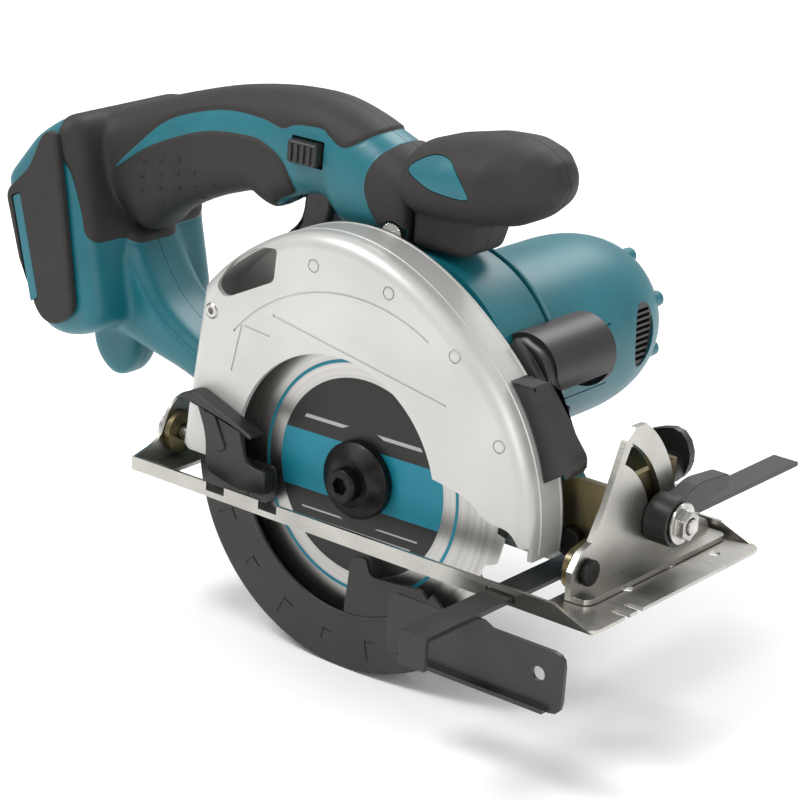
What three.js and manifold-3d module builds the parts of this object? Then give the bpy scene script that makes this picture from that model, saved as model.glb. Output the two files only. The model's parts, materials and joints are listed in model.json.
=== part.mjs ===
// Cordless trim saw, 136 mm blade, no battery fitted. Millimetres.
// X forward in the direction of cut, Y from the blade side to the motor side, Z up from the sole.
// The origin is on the sole's underside, at the arbor's station and at the middle of the sole's width.
import * as THREE from "three";
import { mergeVertices } from "three/addons/utils/BufferGeometryUtils.js";
import Module from "manifold-3d";

const wasm = await Module();
wasm.setup();

// ---------------------------------------------------------------- driving dimensions
const GAP = 0.3; // air between two pieces that seat on each other
const SEAM = 0.4; // air between the two halves of the handle
const ROUND = 24; // facets of a large round
const SMALL = 12; // facets of a small round

const BLADE_R = 68;
const BLADE_PLATE = 1.2;
const BLADE_BORE = 10;
const BLADE_TEETH = 16;
const BLADE_Y = -35; // outer face of the blade
const ARBOR_Z = 18; // arbor above the sole at full depth

const CASE_R = 83; // blade case rim over the front half
const CASE_DUST_R = 95; // blade case rim at the dust pocket
const CASE_NEAR = 10; // case face, out from the blade face
const CASE_FAR = 12.3; // case back, in from the blade face
const CASE_WALL = 2;
const CASE_SCREW = [-3, 109];

const GUARD_R = 74; // lower guard rim
const GUARD_WINDOW_R = 52.5; // lower guard, inner edge of the near wall
const GUARD_NEAR = 6.8;
const GUARD_FAR = 7.8;
const GUARD_WALL = 1.5;
const GUARD_HUB_R = 19.3;

const SOLE_REAR = -95.8;
const SOLE_FRONT = 121.4;
const SOLE_WIDTH = 112;
const SOLE_PLATE = 1.4;
const SLOT_REAR = -82;
const SLOT_FRONT = 94;
const SLOT_NEAR = 13;
const SLOT_FAR = 11;
const TILT_ROOM = { front: 80, far: 24.5 }; // the slot is wider where the guard leans through it
const CASE_TOE = { x: 72, depth: 4.5, z: 16.5 }; // corner taken off the case, over the fence bar

const LOCK = [88, 29]; // axis of the depth lever
const BEVEL = { y: 3.5, z: 10.5, slotR: 44.4, boltAngle: 12.5, travel: 45 };
const QUADRANT_X = 100.5; // front face of the bevel quadrant
const QUADRANT_R = 57.5;
const PLATE = 2.5; // quadrant and bracket plate
const BOLT_HEAD = 2.9; // clamp bolt head, behind the bracket
const TUBE_R = 6.8; // pivot tube on the gear housing
const DEPTH_PIVOT = { x: QUADRANT_X - 2 * PLATE - GAP - BOLT_HEAD - TUBE_R - 0.5, z: 14.5 };
const GUIDE_Y = 51; // near face of the rear depth guide, in from the blade face

const FENCE_X = 81;
const FENCE_BAR = 11.4;
const FENCE_THICK = 1.8;
const FENCE_CLAMP_Y = 44;

const MODULE_MM = 1;
const TEETH = { spindle: 24, layshaft: 16, wheel: 32, pinion: 8 };
const MOTOR_X = 6;
const SHAFT_RISE = 37; // armature above the arbor
const MOTOR_R = 36;
const MOTOR_Y = { front: 62, shoulder: 112, end: 150 };
const MOTOR_WALL = 3;
const COMMUTATOR_R = 9;
const VENT_Y = 124;
const GEARBOX_R = 49;
const GEARBOX_Y = { front: 12.6, back: 60 };

const HANDLE_Y = 30; // mid plane of the handle, in from the blade face
const GRIP_HALF = 17;
const FOOT_HALF = 37;
const ARM_HALF = 17;
const SHELL_WALL = 3;
const PRESS = 3.4; // room for the button's travel
const LOCK_BUTTON = { lo: [50, 3, 42], hi: [62, 8, 53] };

// ---------------------------------------------------------------- helpers
const deg = Math.PI / 180;
const st = (fromBlade) => BLADE_Y + fromBlade; // station along Y, counted from the blade face

/** A closed three.js geometry as a solid. */
function solid(geometry) {
  const bare = geometry.clone();
  bare.deleteAttribute("normal");
  bare.deleteAttribute("uv");
  const merged = mergeVertices(bare, 1e-4);
  return new wasm.Manifold(
    new wasm.Mesh({
      numProp: 3,
      vertProperties: merged.attributes.position.array,
      triVerts: new Uint32Array(merged.index.array),
    }),
  );
}

const union = (...parts) => parts.reduce((a, b) => a.add(b));
const cut = (body, ...tools) => tools.reduce((a, b) => a.subtract(b), body);

/** Box between two corners. */
function box(lo, hi) {
  const size = hi.map((v, i) => v - lo[i]);
  const geometry = new THREE.BoxGeometry(...size);
  return solid(geometry.translate(...lo.map((v, i) => v + size[i] / 2)));
}

/** Outline through corners [u, v, r], each rounded with radius r where one is given. */
function outline(corners) {
  const path = new THREE.Shape();
  corners.forEach((corner, i) => {
    const p = new THREE.Vector2(corner[0], corner[1]);
    const before = corners[(i + corners.length - 1) % corners.length];
    const after = corners[(i + 1) % corners.length];
    const r = corner[2] ?? 0;
    const toward = (q) => new THREE.Vector2(q[0], q[1]).sub(p);
    const back = toward(before);
    const ahead = toward(after);
    const start = p.clone().add(back.clone().setLength(Math.min(r, back.length() * 0.49)));
    const end = p.clone().add(ahead.clone().setLength(Math.min(r, ahead.length() * 0.49)));
    if (i === 0) path.moveTo(start.x, start.y);
    else path.lineTo(start.x, start.y);
    if (r > 0) path.quadraticCurveTo(p.x, p.y, end.x, end.y);
  });
  path.closePath();
  return path;
}

/** Outline whose radius about a centre is a function of the angle in degrees. */
function polar(radius, from, to, steps, centre = [0, 0]) {
  const points = [];
  for (let i = 0; i <= steps; i++) {
    const angle = from + ((to - from) * i) / steps;
    const r = radius(angle);
    points.push([centre[0] + r * Math.cos(angle * deg), centre[1] + r * Math.sin(angle * deg)]);
  }
  return points;
}

const asShape = (points) => new THREE.Shape(points.map(([u, v]) => new THREE.Vector2(u, v)));

/** The points of a shape, counterclockwise, without repeats or points on a straight run. */
function contour(shape, curve) {
  const points = shape.getPoints(curve);
  if (THREE.ShapeUtils.isClockWise(points)) points.reverse();
  const apart = points.filter((p, i) => p.distanceTo(points[(i + 1) % points.length]) > 1e-3);
  return apart.filter((p, i) => {
    const before = apart[(i + apart.length - 1) % apart.length];
    const after = apart[(i + 1) % apart.length];
    return Math.abs(p.clone().sub(before).normalize().cross(after.clone().sub(p).normalize())) > 1e-3;
  });
}

/** Points moved inwards by a distance, corners mitred. */
function inset(points, distance) {
  return points.map((p, i) => {
    const before = points[(i + points.length - 1) % points.length];
    const after = points[(i + 1) % points.length];
    const one = p.clone().sub(before).normalize();
    const two = after.clone().sub(p).normalize();
    const normal = new THREE.Vector2(-one.y - two.y, one.x + two.x).normalize();
    const reach = distance / Math.max(0.5, normal.dot(new THREE.Vector2(-one.y, one.x)));
    return p.clone().addScaledVector(normal, reach);
  });
}

/** Skin over outlines with the same number of points, [height, points], lowest first. */
function skin(levels, base = levels[0][1]) {
  const count = levels[0][1].length;
  const top = (levels.length - 1) * count;
  const faces = THREE.ShapeUtils.triangulateShape([...base], []).flatMap(([a, b, c]) => [
    a, c, b, top + a, top + b, top + c,
  ]);
  for (let j = 0; j < levels.length - 1; j++) {
    for (let i = 0; i < count; i++) {
      const low = [j * count + i, j * count + ((i + 1) % count)];
      const high = low.map((k) => k + count);
      faces.push(low[0], low[1], high[0], low[1], high[1], high[0]);
    }
  }
  const geometry = new THREE.BufferGeometry();
  const vertices = levels.flatMap(([height, points]) => points.flatMap((p) => [p.x, p.y, height]));
  geometry.setAttribute("position", new THREE.Float32BufferAttribute(vertices, 3));
  geometry.setIndex(faces);
  return geometry;
}

/** A shape pushed along its normal from a to b, with rounded or chamfered ends, or shrunk by offset. */
function prism(shape, a, b, { curve = 3, chamfer = 0, rounds = 1, offset = 0 } = {}) {
  const base = contour(shape, curve);
  const points = inset(base, offset);
  if (chamfer === 0) return skin([[a, points], [b, points]], base);
  const steps = Array.from({ length: rounds + 1 }, (_, i) => ((i / rounds) * Math.PI) / 2);
  const low = steps.map((t) => [
    a + chamfer * (1 - Math.sin(t)),
    inset(points, chamfer * (1 - Math.cos(t))),
  ]);
  const high = steps.map((t) => [
    b - chamfer * (1 - Math.sin(t)),
    inset(points, chamfer * (1 - Math.cos(t))),
  ]);
  return skin([...low, ...high].sort((p, q) => p[0] - q[0]), base);
}

/** Prism of an X-Z outline between two stations along Y. */
function alongY(shape, y0, y1, options) {
  return solid(prism(shape, -y1, -y0, options).rotateX(Math.PI / 2));
}

/** Prism of a Y-Z outline between two stations along X. */
function alongX(shape, x0, x1, options) {
  const turn = new THREE.Matrix4().set(0, 0, 1, 0, 1, 0, 0, 0, 0, 1, 0, 0, 0, 0, 0, 1);
  return solid(prism(shape, x0, x1, options).applyMatrix4(turn));
}

/** Prism of an X-Y outline between two heights. */
const alongZ = (shape, z0, z1, options) => solid(prism(shape, z0, z1, options));

/** Cylinder or cone about an axis: "x", "y" or "z". */
function rod(axis, centre, r, from, to, facets = SMALL, rEnd = r) {
  const geometry = new THREE.CylinderGeometry(rEnd, r, to - from, facets);
  geometry.translate(0, (from + to) / 2, 0);
  if (axis === "x") geometry.rotateZ(-Math.PI / 2).translate(0, centre[0], centre[1]);
  if (axis === "y") geometry.translate(centre[0], 0, centre[1]);
  if (axis === "z") geometry.rotateX(Math.PI / 2).translate(centre[0], centre[1], 0);
  return solid(geometry);
}

/** Tube: a rod with a through bore. */
const ring = (axis, centre, inner, outer, from, to, facets = ROUND) =>
  cut(rod(axis, centre, outer, from, to, facets), rod(axis, centre, inner, from - 1, to + 1, facets));

/** Ellipsoid. */
function ball(centre, radii, facets = 20) {
  const geometry = new THREE.SphereGeometry(1, facets, Math.round(facets * 0.6));
  return solid(geometry.scale(...radii).translate(...centre));
}

const root = new THREE.Group();

/** Adds a solid as a named mesh. */
function add(name, body, [colour, roughness, metalness]) {
  const made = body.getMesh();
  const geometry = new THREE.BufferGeometry();
  geometry.setAttribute("position", new THREE.BufferAttribute(Float32Array.from(made.vertProperties), 3));
  geometry.setIndex(new THREE.BufferAttribute(Uint32Array.from(made.triVerts), 1));
  geometry.computeVertexNormals();
  const material = new THREE.MeshStandardMaterial({ color: colour, roughness, metalness });
  const mesh = new THREE.Mesh(geometry, material);
  mesh.name = name;
  root.add(mesh);
}

const TEAL = [0x148a96, 0.45, 0];
const BLACK = [0x3b3836, 0.6, 0];
const RUBBER = [0x413e3c, 0.8, 0];
const CAST = [0xd8d8d6, 0.4, 0.3];
const STEEL = [0xb9b7b1, 0.35, 0.9];
const ZINC = [0x8c8262, 0.4, 0.9];
const GUARD = [0x474644, 0.5, 0.4];
const BLADE = [0xb5b3b0, 0.3, 0.9];
const COPPER = [0xb06a3c, 0.4, 0.9];
const IRON = [0x55585c, 0.5, 0.8];

const arbor = [0, ARBOR_Z];
const motor = [MOTOR_X, ARBOR_Z + SHAFT_RISE];

// ---------------------------------------------------------------- gear train geometry
const pitchR = (teeth) => (teeth * MODULE_MM) / 2;
const lowMesh = pitchR(TEETH.spindle) + pitchR(TEETH.layshaft);
const highMesh = pitchR(TEETH.wheel) + pitchR(TEETH.pinion);
const span = Math.hypot(MOTOR_X, SHAFT_RISE);
const lean = Math.atan2(SHAFT_RISE, MOTOR_X);
const kink = Math.acos((span ** 2 + lowMesh ** 2 - highMesh ** 2) / (2 * span * lowMesh));
const layshaft = [
  lowMesh * Math.cos(lean + kink),
  ARBOR_Z + lowMesh * Math.sin(lean + kink),
];
const toMotor = Math.atan2(motor[1] - layshaft[1], motor[0] - layshaft[0]);

/** Spur gear about Y with one tooth (or one gap) pointing along the angle given in radians. */
function gear(centre, teeth, y0, y1, bore, towards, tooth) {
  const pitch = (2 * Math.PI) / teeth;
  const points = [];
  for (let i = 0; i < teeth; i++) {
    const mid = towards + (i + (tooth ? 0 : 0.5)) * pitch;
    const flank = [
      [-0.3, -1.15],
      [-0.12, 0.85],
      [0.12, 0.85],
      [0.3, -1.15],
    ];
    flank.forEach(([turn, rise]) => {
      const r = pitchR(teeth) + rise * MODULE_MM;
      const a = mid + turn * pitch;
      points.push([centre[0] + r * Math.cos(a), centre[1] + r * Math.sin(a)]);
    });
  }
  return cut(alongY(asShape(points), y0, y1), rod("y", centre, bore, y0 - 1, y1 + 1));
}

// ---------------------------------------------------------------- blade and spindle
const SPINDLE_R = 6;
const FRONT_BEARING_R = 11.5;
const BOLT_R = 3.7;

function toothedDisc() {
  const points = [];
  const pitch = 360 / BLADE_TEETH;
  for (let i = 0; i < BLADE_TEETH; i++) {
    const a = i * pitch;
    const stops = [
      [0, BLADE_R],
      [1.2, BLADE_R - 5.5],
      [5, BLADE_R - 7.5],
      [8.6, BLADE_R - 2.6],
      [pitch - 3.2, BLADE_R - 1.4],
    ];
    stops.forEach(([turn, r]) => {
      const angle = (a + turn) * deg;
      points.push([r * Math.cos(angle), ARBOR_Z + r * Math.sin(angle)]);
    });
  }
  return points;
}

function bladeAndSpindle() {
  const [x, z] = arbor;
  add(
    "saw_blade",
    cut(
      alongY(asShape(toothedDisc()), st(0), st(BLADE_PLATE)),
      rod("y", arbor, BLADE_BORE + GAP, st(-1), st(3), ROUND),
    ),
    BLADE,
  );
  add(
    "outer_flange",
    cut(
      union(
        rod("y", arbor, 9.5, st(-8), st(-4), ROUND, 14.5),
        rod("y", arbor, 14.5, st(-4.01), st(-GAP), ROUND),
      ),
      rod("y", arbor, BOLT_R + GAP, st(-9), st(1)),
    ),
    IRON,
  );
  const inner = union(
    rod("y", arbor, 15.5, st(BLADE_PLATE + GAP), st(4.7), ROUND),
    rod("y", arbor, BLADE_BORE, st(GAP), st(2), ROUND),
  );
  add(
    "inner_flange",
    cut(inner, rod("y", arbor, BOLT_R + GAP, st(-1), st(5)), rod("y", arbor, SPINDLE_R + GAP, st(2), st(5))),
    IRON,
  );
  const socket = new THREE.CylinderGeometry(3.2, 3.2, 4, 6).translate(x, st(-12.2), z);
  add(
    "blade_bolt",
    cut(
      union(rod("y", arbor, 6.6, st(-12.6), st(-8 - GAP)), rod("y", arbor, BOLT_R, st(-8.5), st(13))),
      solid(socket),
    ),
    IRON,
  );
  add(
    "spindle",
    cut(
      rod("y", arbor, SPINDLE_R, st(2 + GAP), st(35), ROUND),
      rod("y", arbor, BOLT_R + GAP, st(1), st(14)),
    ),
    STEEL,
  );
  add("spindle_gear", gear(arbor, TEETH.spindle, st(23), st(29), SPINDLE_R + GAP, lean + kink, true), IRON);
  add("spindle_front_bearing", ring("y", arbor, SPINDLE_R + GAP, FRONT_BEARING_R, st(13), st(21)), STEEL);
  add("spindle_rear_bearing", ring("y", arbor, SPINDLE_R + GAP, 9.7, st(30), st(35)), STEEL);
}

// ---------------------------------------------------------------- layshaft and motor
function layshaftSet() {
  const back = lean + kink + Math.PI;
  add("layshaft", rod("y", layshaft, 3, st(15), st(50)), STEEL);
  add("layshaft_pinion", gear(layshaft, TEETH.layshaft, st(23), st(29), 3 + GAP, back, false), IRON);
  add("layshaft_wheel", gear(layshaft, TEETH.wheel, st(37), st(43), 3 + GAP, toMotor, true), IRON);
}

function armatureSet() {
  const shaft = rod("y", motor, 2.5, st(36), st(142));
  const pinion = gear(motor, TEETH.pinion, st(36.2), st(44), 1, toMotor + Math.PI, false);
  add("armature_shaft", union(shaft, pinion), STEEL);
  add("armature_front_bearing", ring("y", motor, 2.8, 9.5, st(52), st(58), SMALL), STEEL);
  const blades = [];
  for (let i = 0; i < 10; i++) {
    const vane = new THREE.BoxGeometry(1.6, 6.5, 17);
    vane.translate(0, 0, 14).rotateY((i * 36 + 8) * deg);
    blades.push(solid(vane.translate(motor[0], st(67.5), motor[1])));
  }
  add("cooling_fan", cut(union(ring("y", motor, 2.8, 26, st(69), st(71)), rod("y", motor, 8, st(64.3), st(71)),
    ...blades), rod("y", motor, 2.8, st(60), st(75))), BLACK);
  const slots = [];
  for (let i = 0; i < 10; i++) {
    const slot = new THREE.BoxGeometry(2.2, 60, 6).translate(0, 0, 17).rotateY(i * 36 * deg);
    slots.push(solid(slot.translate(motor[0], st(95), motor[1])));
  }
  add("armature_core", cut(ring("y", motor, 2.8, 18.5, st(76), st(112)), ...slots), IRON);
  add("commutator", ring("y", motor, 2.8, COMMUTATOR_R, st(118), st(129), 20), COPPER);
  add("armature_rear_bearing", ring("y", motor, 2.8, 8, st(134), st(140), SMALL), STEEL);
  add("field_magnet_ring", ring("y", motor, 20, 30, st(74), st(114)), IRON);
  add("carbon_brush_upper", brush(1, 0), IRON);
  add("carbon_brush_lower", brush(-1, 0), IRON);
}

/** Carbon brush on one side of the commutator, or with a clearance the pocket that holds it. */
function brush(side, clearance) {
  const [near, far] = [COMMUTATOR_R + GAP, 21].map((r) => motor[1] + side * r);
  const lo = [motor[0] - 3, st(120), Math.min(near, far)];
  const hi = [motor[0] + 3, st(127), Math.max(near, far)];
  return box(lo.map((v) => v - clearance), hi.map((v) => v + clearance));
}

// ---------------------------------------------------------------- blade case and guards
/** Rim of the blade case: the radius grows from the front towards the dust pocket. */
function caseRadius(angle) {
  const s = Math.min(Math.max((angle - 50) / 60, 0), 1);
  const grown = CASE_R + (CASE_DUST_R - CASE_R) * s * s * (3 - 2 * s);
  const t = Math.max(angle - 141, 0) * deg;
  const corner = CASE_DUST_R / (Math.cos(t) + 0.62 * Math.sin(t));
  return angle > 141 ? Math.max(corner, CASE_R - 2) : grown;
}

function caseOutline(inset) {
  const rim = polar((a) => caseRadius(a) - inset, -4, 184, 47, arbor);
  rim.push([2 - CASE_R + inset, ARBOR_Z - 7], [CASE_R - inset, ARBOR_Z - 7]);
  return rim.map(([u, v]) => new THREE.Vector2(u, v));
}

function bladeCase() {
  const near = st(-CASE_NEAR);
  const far = st(CASE_FAR);
  const shoulder = 6;
  const rolled = [90, 60, 30, 0].map((a) => [
    -near - shoulder * (1 - Math.cos(a * deg)),
    caseOutline(shoulder * (1 - Math.sin(a * deg))),
  ]);
  const body = solid(skin([[-far, caseOutline(0)], ...rolled]).rotateX(Math.PI / 2));
  const hollow = alongY(new THREE.Shape(caseOutline(CASE_WALL)), near + CASE_WALL, far - CASE_WALL);
  const roundWindow = rod("y", [-5.5, ARBOR_Z + 1], 47.3, near - 1, st(-6), 40);
  const mouth = outline([
    [-80, -12], [-52, 20, 6], [-46, 40], [40, ARBOR_Z + 14, 6], [57, ARBOR_Z + 11, 10],
    [64, ARBOR_Z + 4.6, 6], [76, ARBOR_Z + 4, 4], [81.5, ARBOR_Z - 4], [81.5, -12],
  ]);
  const lower = alongY(mouth, near - 1, st(-6));
  const floor = box([-78, st(-6.5), -20], [CASE_R - CASE_WALL, far - CASE_WALL, ARBOR_Z + 1]);
  const boss = rod("y", arbor, 25, st(8), far + 1, ROUND);
  const toe = box([CASE_TOE.x, near - 1, 0], [CASE_R + 1, near + CASE_TOE.depth, CASE_TOE.z]);
  const pocket = alongY(
    outline([[-62, 80, 4], [-40, 92, 4], [-34, 100, 4], [-60, 88, 4]]), near - 1, near + CASE_WALL + 1,
  );
  const screwHole = rod("y", [-70, 66], 1.8, near - 1, near + 3);
  add("blade_case", cut(body, hollow, roundWindow, lower, floor, boss, toe, pocket, screwHole), CAST);
}

function frontDeflector() {
  const inner = (a) => caseRadius(a) + 0.6;
  const leaf = alongY(
    outline([[90, 41.5, 3], [92.5, 48.5, 4], [86, 56, 6], [78, 67.5, 5], [72.5, 74, 2], ...polar(inner, 41, 14.5, 12, arbor)]),
    st(1), st(13),
  );
  const wing = alongY(
    asShape([...polar(() => CASE_R + 3, 20, 50, 10, arbor), ...polar(() => 60, 50, 20, 10, arbor)]),
    st(CASE_FAR + GAP), st(16),
  );
  add("front_deflector", union(leaf, wing), BLACK);
}

function lowerGuard() {
  const near = st(-GUARD_NEAR);
  const far = st(GUARD_FAR);
  const sweep = [176, 322];
  const sector = (inner, outer, from, to) =>
    asShape([...polar(() => outer, from, to, 30, arbor), ...polar(() => inner, to, from, 24, arbor)]);
  const nearWall = alongY(sector(GUARD_WINDOW_R, GUARD_R, ...sweep), near, near + GUARD_WALL);
  const hook = alongY(
    outline([[1, -33], [14, -54, 3], [46, -33, 3], [38, -14, 4], [12, -16, 3], [10, -9, 3], [3, -11, 3]]),
    near, near + GUARD_WALL,
  );
  const rim = alongY(sector(GUARD_R - GUARD_WALL, GUARD_R, ...sweep), near, far);
  const farWall = alongY(sector(GUARD_HUB_R, GUARD_R, ...sweep), far - GUARD_WALL, far);
  const hub = ring("y", arbor, GUARD_HUB_R, GUARD_HUB_R + 3, far - GUARD_WALL, far + 0.7);
  const ear = alongY(outline([[-58, 14], [-36, 13.5, 2], [-35, 2, 3], [-52, -12]]), near, near + GUARD_WALL);
  add("lower_guard", union(nearWall, hook, ear, rim, farWall, hub), GUARD);
  // thumb lever, in front of the case and joined to the guard through the case's round window
  const web = alongY(
    outline([[-72, 33, 3], [-68, 36], [-50, 29], [-46, 14, 4], [-36, 13, 2], [-36, 3.5, 2], [-50, 2.4, 3],
      [-66, 6, 4], [-66, 20, 6]]),
    st(-12.6), st(-10.4),
  );
  const stub = box([-42, st(-11), 4], [-36.4, near - GAP, 12]);
  const pad = alongY(
    outline([[-76, 35.5, 2], [-69, 38.8, 3], [-39, 28.2], [-39.5, 26.6], [-52, 30.4, 3], [-72, 34, 3]]),
    st(-18), st(-10.4),
  );
  add("guard_lever", union(web, stub, pad), BLACK);
  const coil = ring("y", arbor, GUARD_HUB_R + GAP, GUARD_HUB_R + 3.1, st(8.9), st(10));
  add("guard_spring", cut(coil, box([0, st(5), ARBOR_Z - 3], [40, st(12), ARBOR_Z + 3])), STEEL);
}

function bearingBox() {
  const nose = rod("y", arbor, GUARD_HUB_R - GAP, st(6.3), st(10.6), ROUND);
  const neck = rod("y", arbor, 15, st(10.5), st(13), ROUND);
  const plate = alongY(
    outline([[-31, 6, 4], [-31, 50, 10], [-12, 64, 8], [20, 64, 8], [31, 50, 10], [31, 6, 4]]),
    st(CASE_FAR + GAP), st(16),
  );
  const barrel = rod("y", arbor, FRONT_BEARING_R + 2, st(12), st(22), ROUND);
  add(
    "bearing_box",
    cut(
      union(nose, neck, plate, barrel),
      rod("y", arbor, SPINDLE_R + 1, st(5), st(20), ROUND),
      rod("y", arbor, FRONT_BEARING_R + GAP, st(12.6), st(23), ROUND),
      rod("y", layshaft, 3 + GAP, st(14), st(20)),
    ),
    CAST,
  );
}

// ---------------------------------------------------------------- housings
/** Cover over the gears, with the arm that carries the front pivot. */
function gearHousing() {
  const back = GEARBOX_Y.back;
  const front = GEARBOX_Y.front;
  const floor = 2;
  const low = outline([
    [-40, floor, 6], [40, floor, 6], [46, 30, 10], [40, 60], [-34, 60], [-46, 30, 10],
  ]);
  const shell = union(
    rod("y", motor, GEARBOX_R, st(front + 4), st(44), 40),
    rod("y", motor, GEARBOX_R, st(44), st(back), 40, MOTOR_R + 2),
    alongY(low, st(front + 4), st(46)),
  );
  const hollowLow = outline([
    [-36.5, floor + 2, 4], [36.5, floor + 2, 4], [42, 31, 8], [37, 58], [-31, 58], [-42, 31, 8],
  ]);
  const hollow = union(
    rod("y", motor, GEARBOX_R - SHELL_WALL, st(front), st(42), 40),
    rod("y", motor, GEARBOX_R - SHELL_WALL, st(42), st(back + 1), 40, MOTOR_R - 2),
    alongY(hollowLow, st(front), st(43)),
  );
  const p = DEPTH_PIVOT;
  const arm = alongY(
    outline([[36, 58], [58, 60, 6], [p.x + 5.5, p.z + 5, 4], [p.x + 6, p.z, 4], [p.x, p.z - 6, 4],
      [p.x - 8, p.z - 3, 6], [60, 26, 8], [42, 34]]),
    st(20), st(32),
  );
  const tube = rod("y", [p.x, p.z], TUBE_R, st(20), st(59.5), ROUND);
  const pin = rod("y", [p.x, p.z], 3 + GAP, st(15), st(70));
  const { lo, hi } = LOCK_BUTTON;
  const buttonHole = box([lo[0] - PRESS, lo[1] - PRESS, lo[2] - PRESS], hi.map((v) => v + GAP));
  add("gear_housing", cut(union(shell, arm, tube), hollow, pin, buttonHole), TEAL);
  // inner bracket that holds the far ends of the spindle and the layshaft and the motor's nose
  const plate = alongY(
    outline([[-30, 9, 4], [30, 9, 4], [34, 40, 10], [30, 80, 12], [-18, 80, 12], [-34, 40, 10]]),
    st(30), st(35.5),
  );
  const seat = rod("y", motor, 14, st(45), st(59), ROUND);
  const bridge = box([motor[0] - 8, st(33), motor[1] + 12], [motor[0] + 8, st(59), motor[1] + 18]);
  const post = rod("y", layshaft, 5, st(45), st(51));
  const tie = box([layshaft[0] - 3, st(45.2), layshaft[1]], [motor[0], st(50), motor[1]]);
  add(
    "gear_bracket",
    cut(
      union(plate, seat, bridge, tie, post),
      rod("y", arbor, 10, st(29), st(37), ROUND),
      rod("y", layshaft, 3 + GAP, st(29), st(51)),
      rod("y", motor, 9.8, st(51.7), st(60), ROUND),
      rod("y", motor, 5.6, st(29), st(53)),
      rod("y", motor, 6, st(35.4), st(44.9)),
      rod("y", layshaft, 17.5, st(36.2), st(43.8), ROUND),
    ),
    CAST,
  );
}

/** Motor housing: a drum with a domed end, open towards the gears, with an oval vent on each side. */
function motorHousing() {
  const { front, shoulder, end } = MOTOR_Y;
  const dome = (r, last) => {
    const profile = [new THREE.Vector2(0, st(front + GAP)), new THREE.Vector2(r, st(front + GAP))];
    for (let i = 0; i <= 6; i++) {
      const a = (i * 15) * deg;
      const inwards = (r - 16) + 16 * Math.cos(a);
      profile.push(new THREE.Vector2(inwards, st(shoulder) + (last - shoulder) * Math.sin(a)));
    }
    profile.push(new THREE.Vector2(0, st(last)));
    return solid(new THREE.LatheGeometry(profile, 40)).translate([motor[0], 0, motor[1]]);
  };
  const inner = dome(MOTOR_R - MOTOR_WALL, end - MOTOR_WALL);
  const mouth = rod("y", motor, MOTOR_R - MOTOR_WALL, st(front - 1), st(front + 2), 40);
  const vent = solid(new THREE.CylinderGeometry(1, 1, 140, 24).rotateZ(Math.PI / 2)
    .scale(1, 8, 13).translate(motor[0], st(VENT_Y), motor[1] + 2));
  const seat = ring("y", motor, 8.3, 11, st(133), st(148), 20);
  const holders = [1, -1].map((side) => {
    const ends = [12.5, MOTOR_R - 2.5].map((r) => motor[1] + side * r);
    const lo = [motor[0] - 5.5, st(117), Math.min(...ends)];
    const hi = [motor[0] + 5.5, st(130), Math.max(...ends)];
    return cut(box(lo, hi), brush(side, GAP));
  });
  const walled = cut(dome(MOTOR_R, end), inner, mouth, vent);
  add("motor_housing", union(walled, seat, ...holders), TEAL);
  const x = motor[0] + MOTOR_R - 4.5;
  const frame = solid(new THREE.CylinderGeometry(1, 1, 1.4, 24).rotateZ(Math.PI / 2)
    .scale(1, 7.4, 12.4).translate(x, st(VENT_Y), motor[1] + 2));
  const slots = [-3, -2, -1, 0, 1, 2, 3].map((i) => {
    const z = motor[1] + 2 + i * 3;
    const half = 5 * Math.sqrt(1 - (i / 4.2) ** 2);
    return box([x - 2, st(VENT_Y - half), z - 0.9], [x + 2, st(VENT_Y + half), z + 0.9]);
  });
  add("vent_grille", cut(frame, ...slots), BLACK);
}

function lampHousing() {
  const c = [55, 70];
  const hood = cut(
    union(rod("y", c, 14, st(22), st(60), 28), box([44, st(17), 58], [62, st(60), 78])),
    rod("y", c, 11.5, st(24.5), st(57.5), 28),
    box([46.5, st(24.5), 40], [90, st(57.5), 64]),
    box([40, st(10), 50], [64, st(32 + GAP), 61]),
    rod("y", motor, GEARBOX_R + GAP, st(0), st(46), 40),
    rod("y", motor, GEARBOX_R + GAP, st(44), st(62), 40, MOTOR_R + 2 + GAP),
  );
  add("lamp_housing", hood, BLACK);
  add("lamp_lens", rod("z", [60.5, st(33)], 4, 62, 66, SMALL), CAST);
  add("shaft_lock_button", box(LOCK_BUTTON.lo, LOCK_BUTTON.hi), IRON);
}

// ---------------------------------------------------------------- handle
const gripOutline = outline([
  [-152, 126, 6], [-139, 130, 10], [-113, 139, 12], [-73, 149, 16], [-44, 151, 16], [-16, 141.5, 14],
  [0, 136, 6], [2, 112, 4], [-4, 104, 4], [-31, 102, 3], [-38, 112, 8], [-50, 112, 6], [-62, 103, 4],
  [-70, 103, 4], [-78, 108, 6], [-100, 100, 14], [-118, 93, 10], [-122, 80, 10], [-135, 78, 10],
  [-150, 100, 8],
]);
const footOutline = outline([
  [-186, 96, 5], [-170, 116, 4], [-156, 126, 8], [-146, 126, 10], [-140, 95, 20], [-129, 44, 8],
  [-148, 35, 10], [-164, 37, 10],
]);
const armOutline = outline([
  [-150, 90], [-134, 80, 12], [-127, 66, 14], [-113, 50, 16], [-80, 36, 16], [-43, 31], [-43, 8, 4],
  [-70, 10, 10], [-96, 26, 16], [-129, 33, 16], [-150, 38],
]);
const lugOutline = outline([
  [-162, 45], [-160, 22, 10], [-146, 12, 12], [-136, 22, 8], [-134, 45],
]);

function handleSolid(offset) {
  const h = HANDLE_Y;
  const o = offset;
  const layer = (shape, half, chamfer) =>
    alongY(shape, st(h - half + o), st(h + half - o), { chamfer: o > 0 ? 0 : chamfer, offset: o });
  return union(
    layer(gripOutline, GRIP_HALF, 5),
    layer(footOutline, FOOT_HALF, 5),
    layer(armOutline, ARM_HALF, 4),
    ...(o > 0 ? [] : [layer(lugOutline, 9, 3)]),
  );
}

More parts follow.
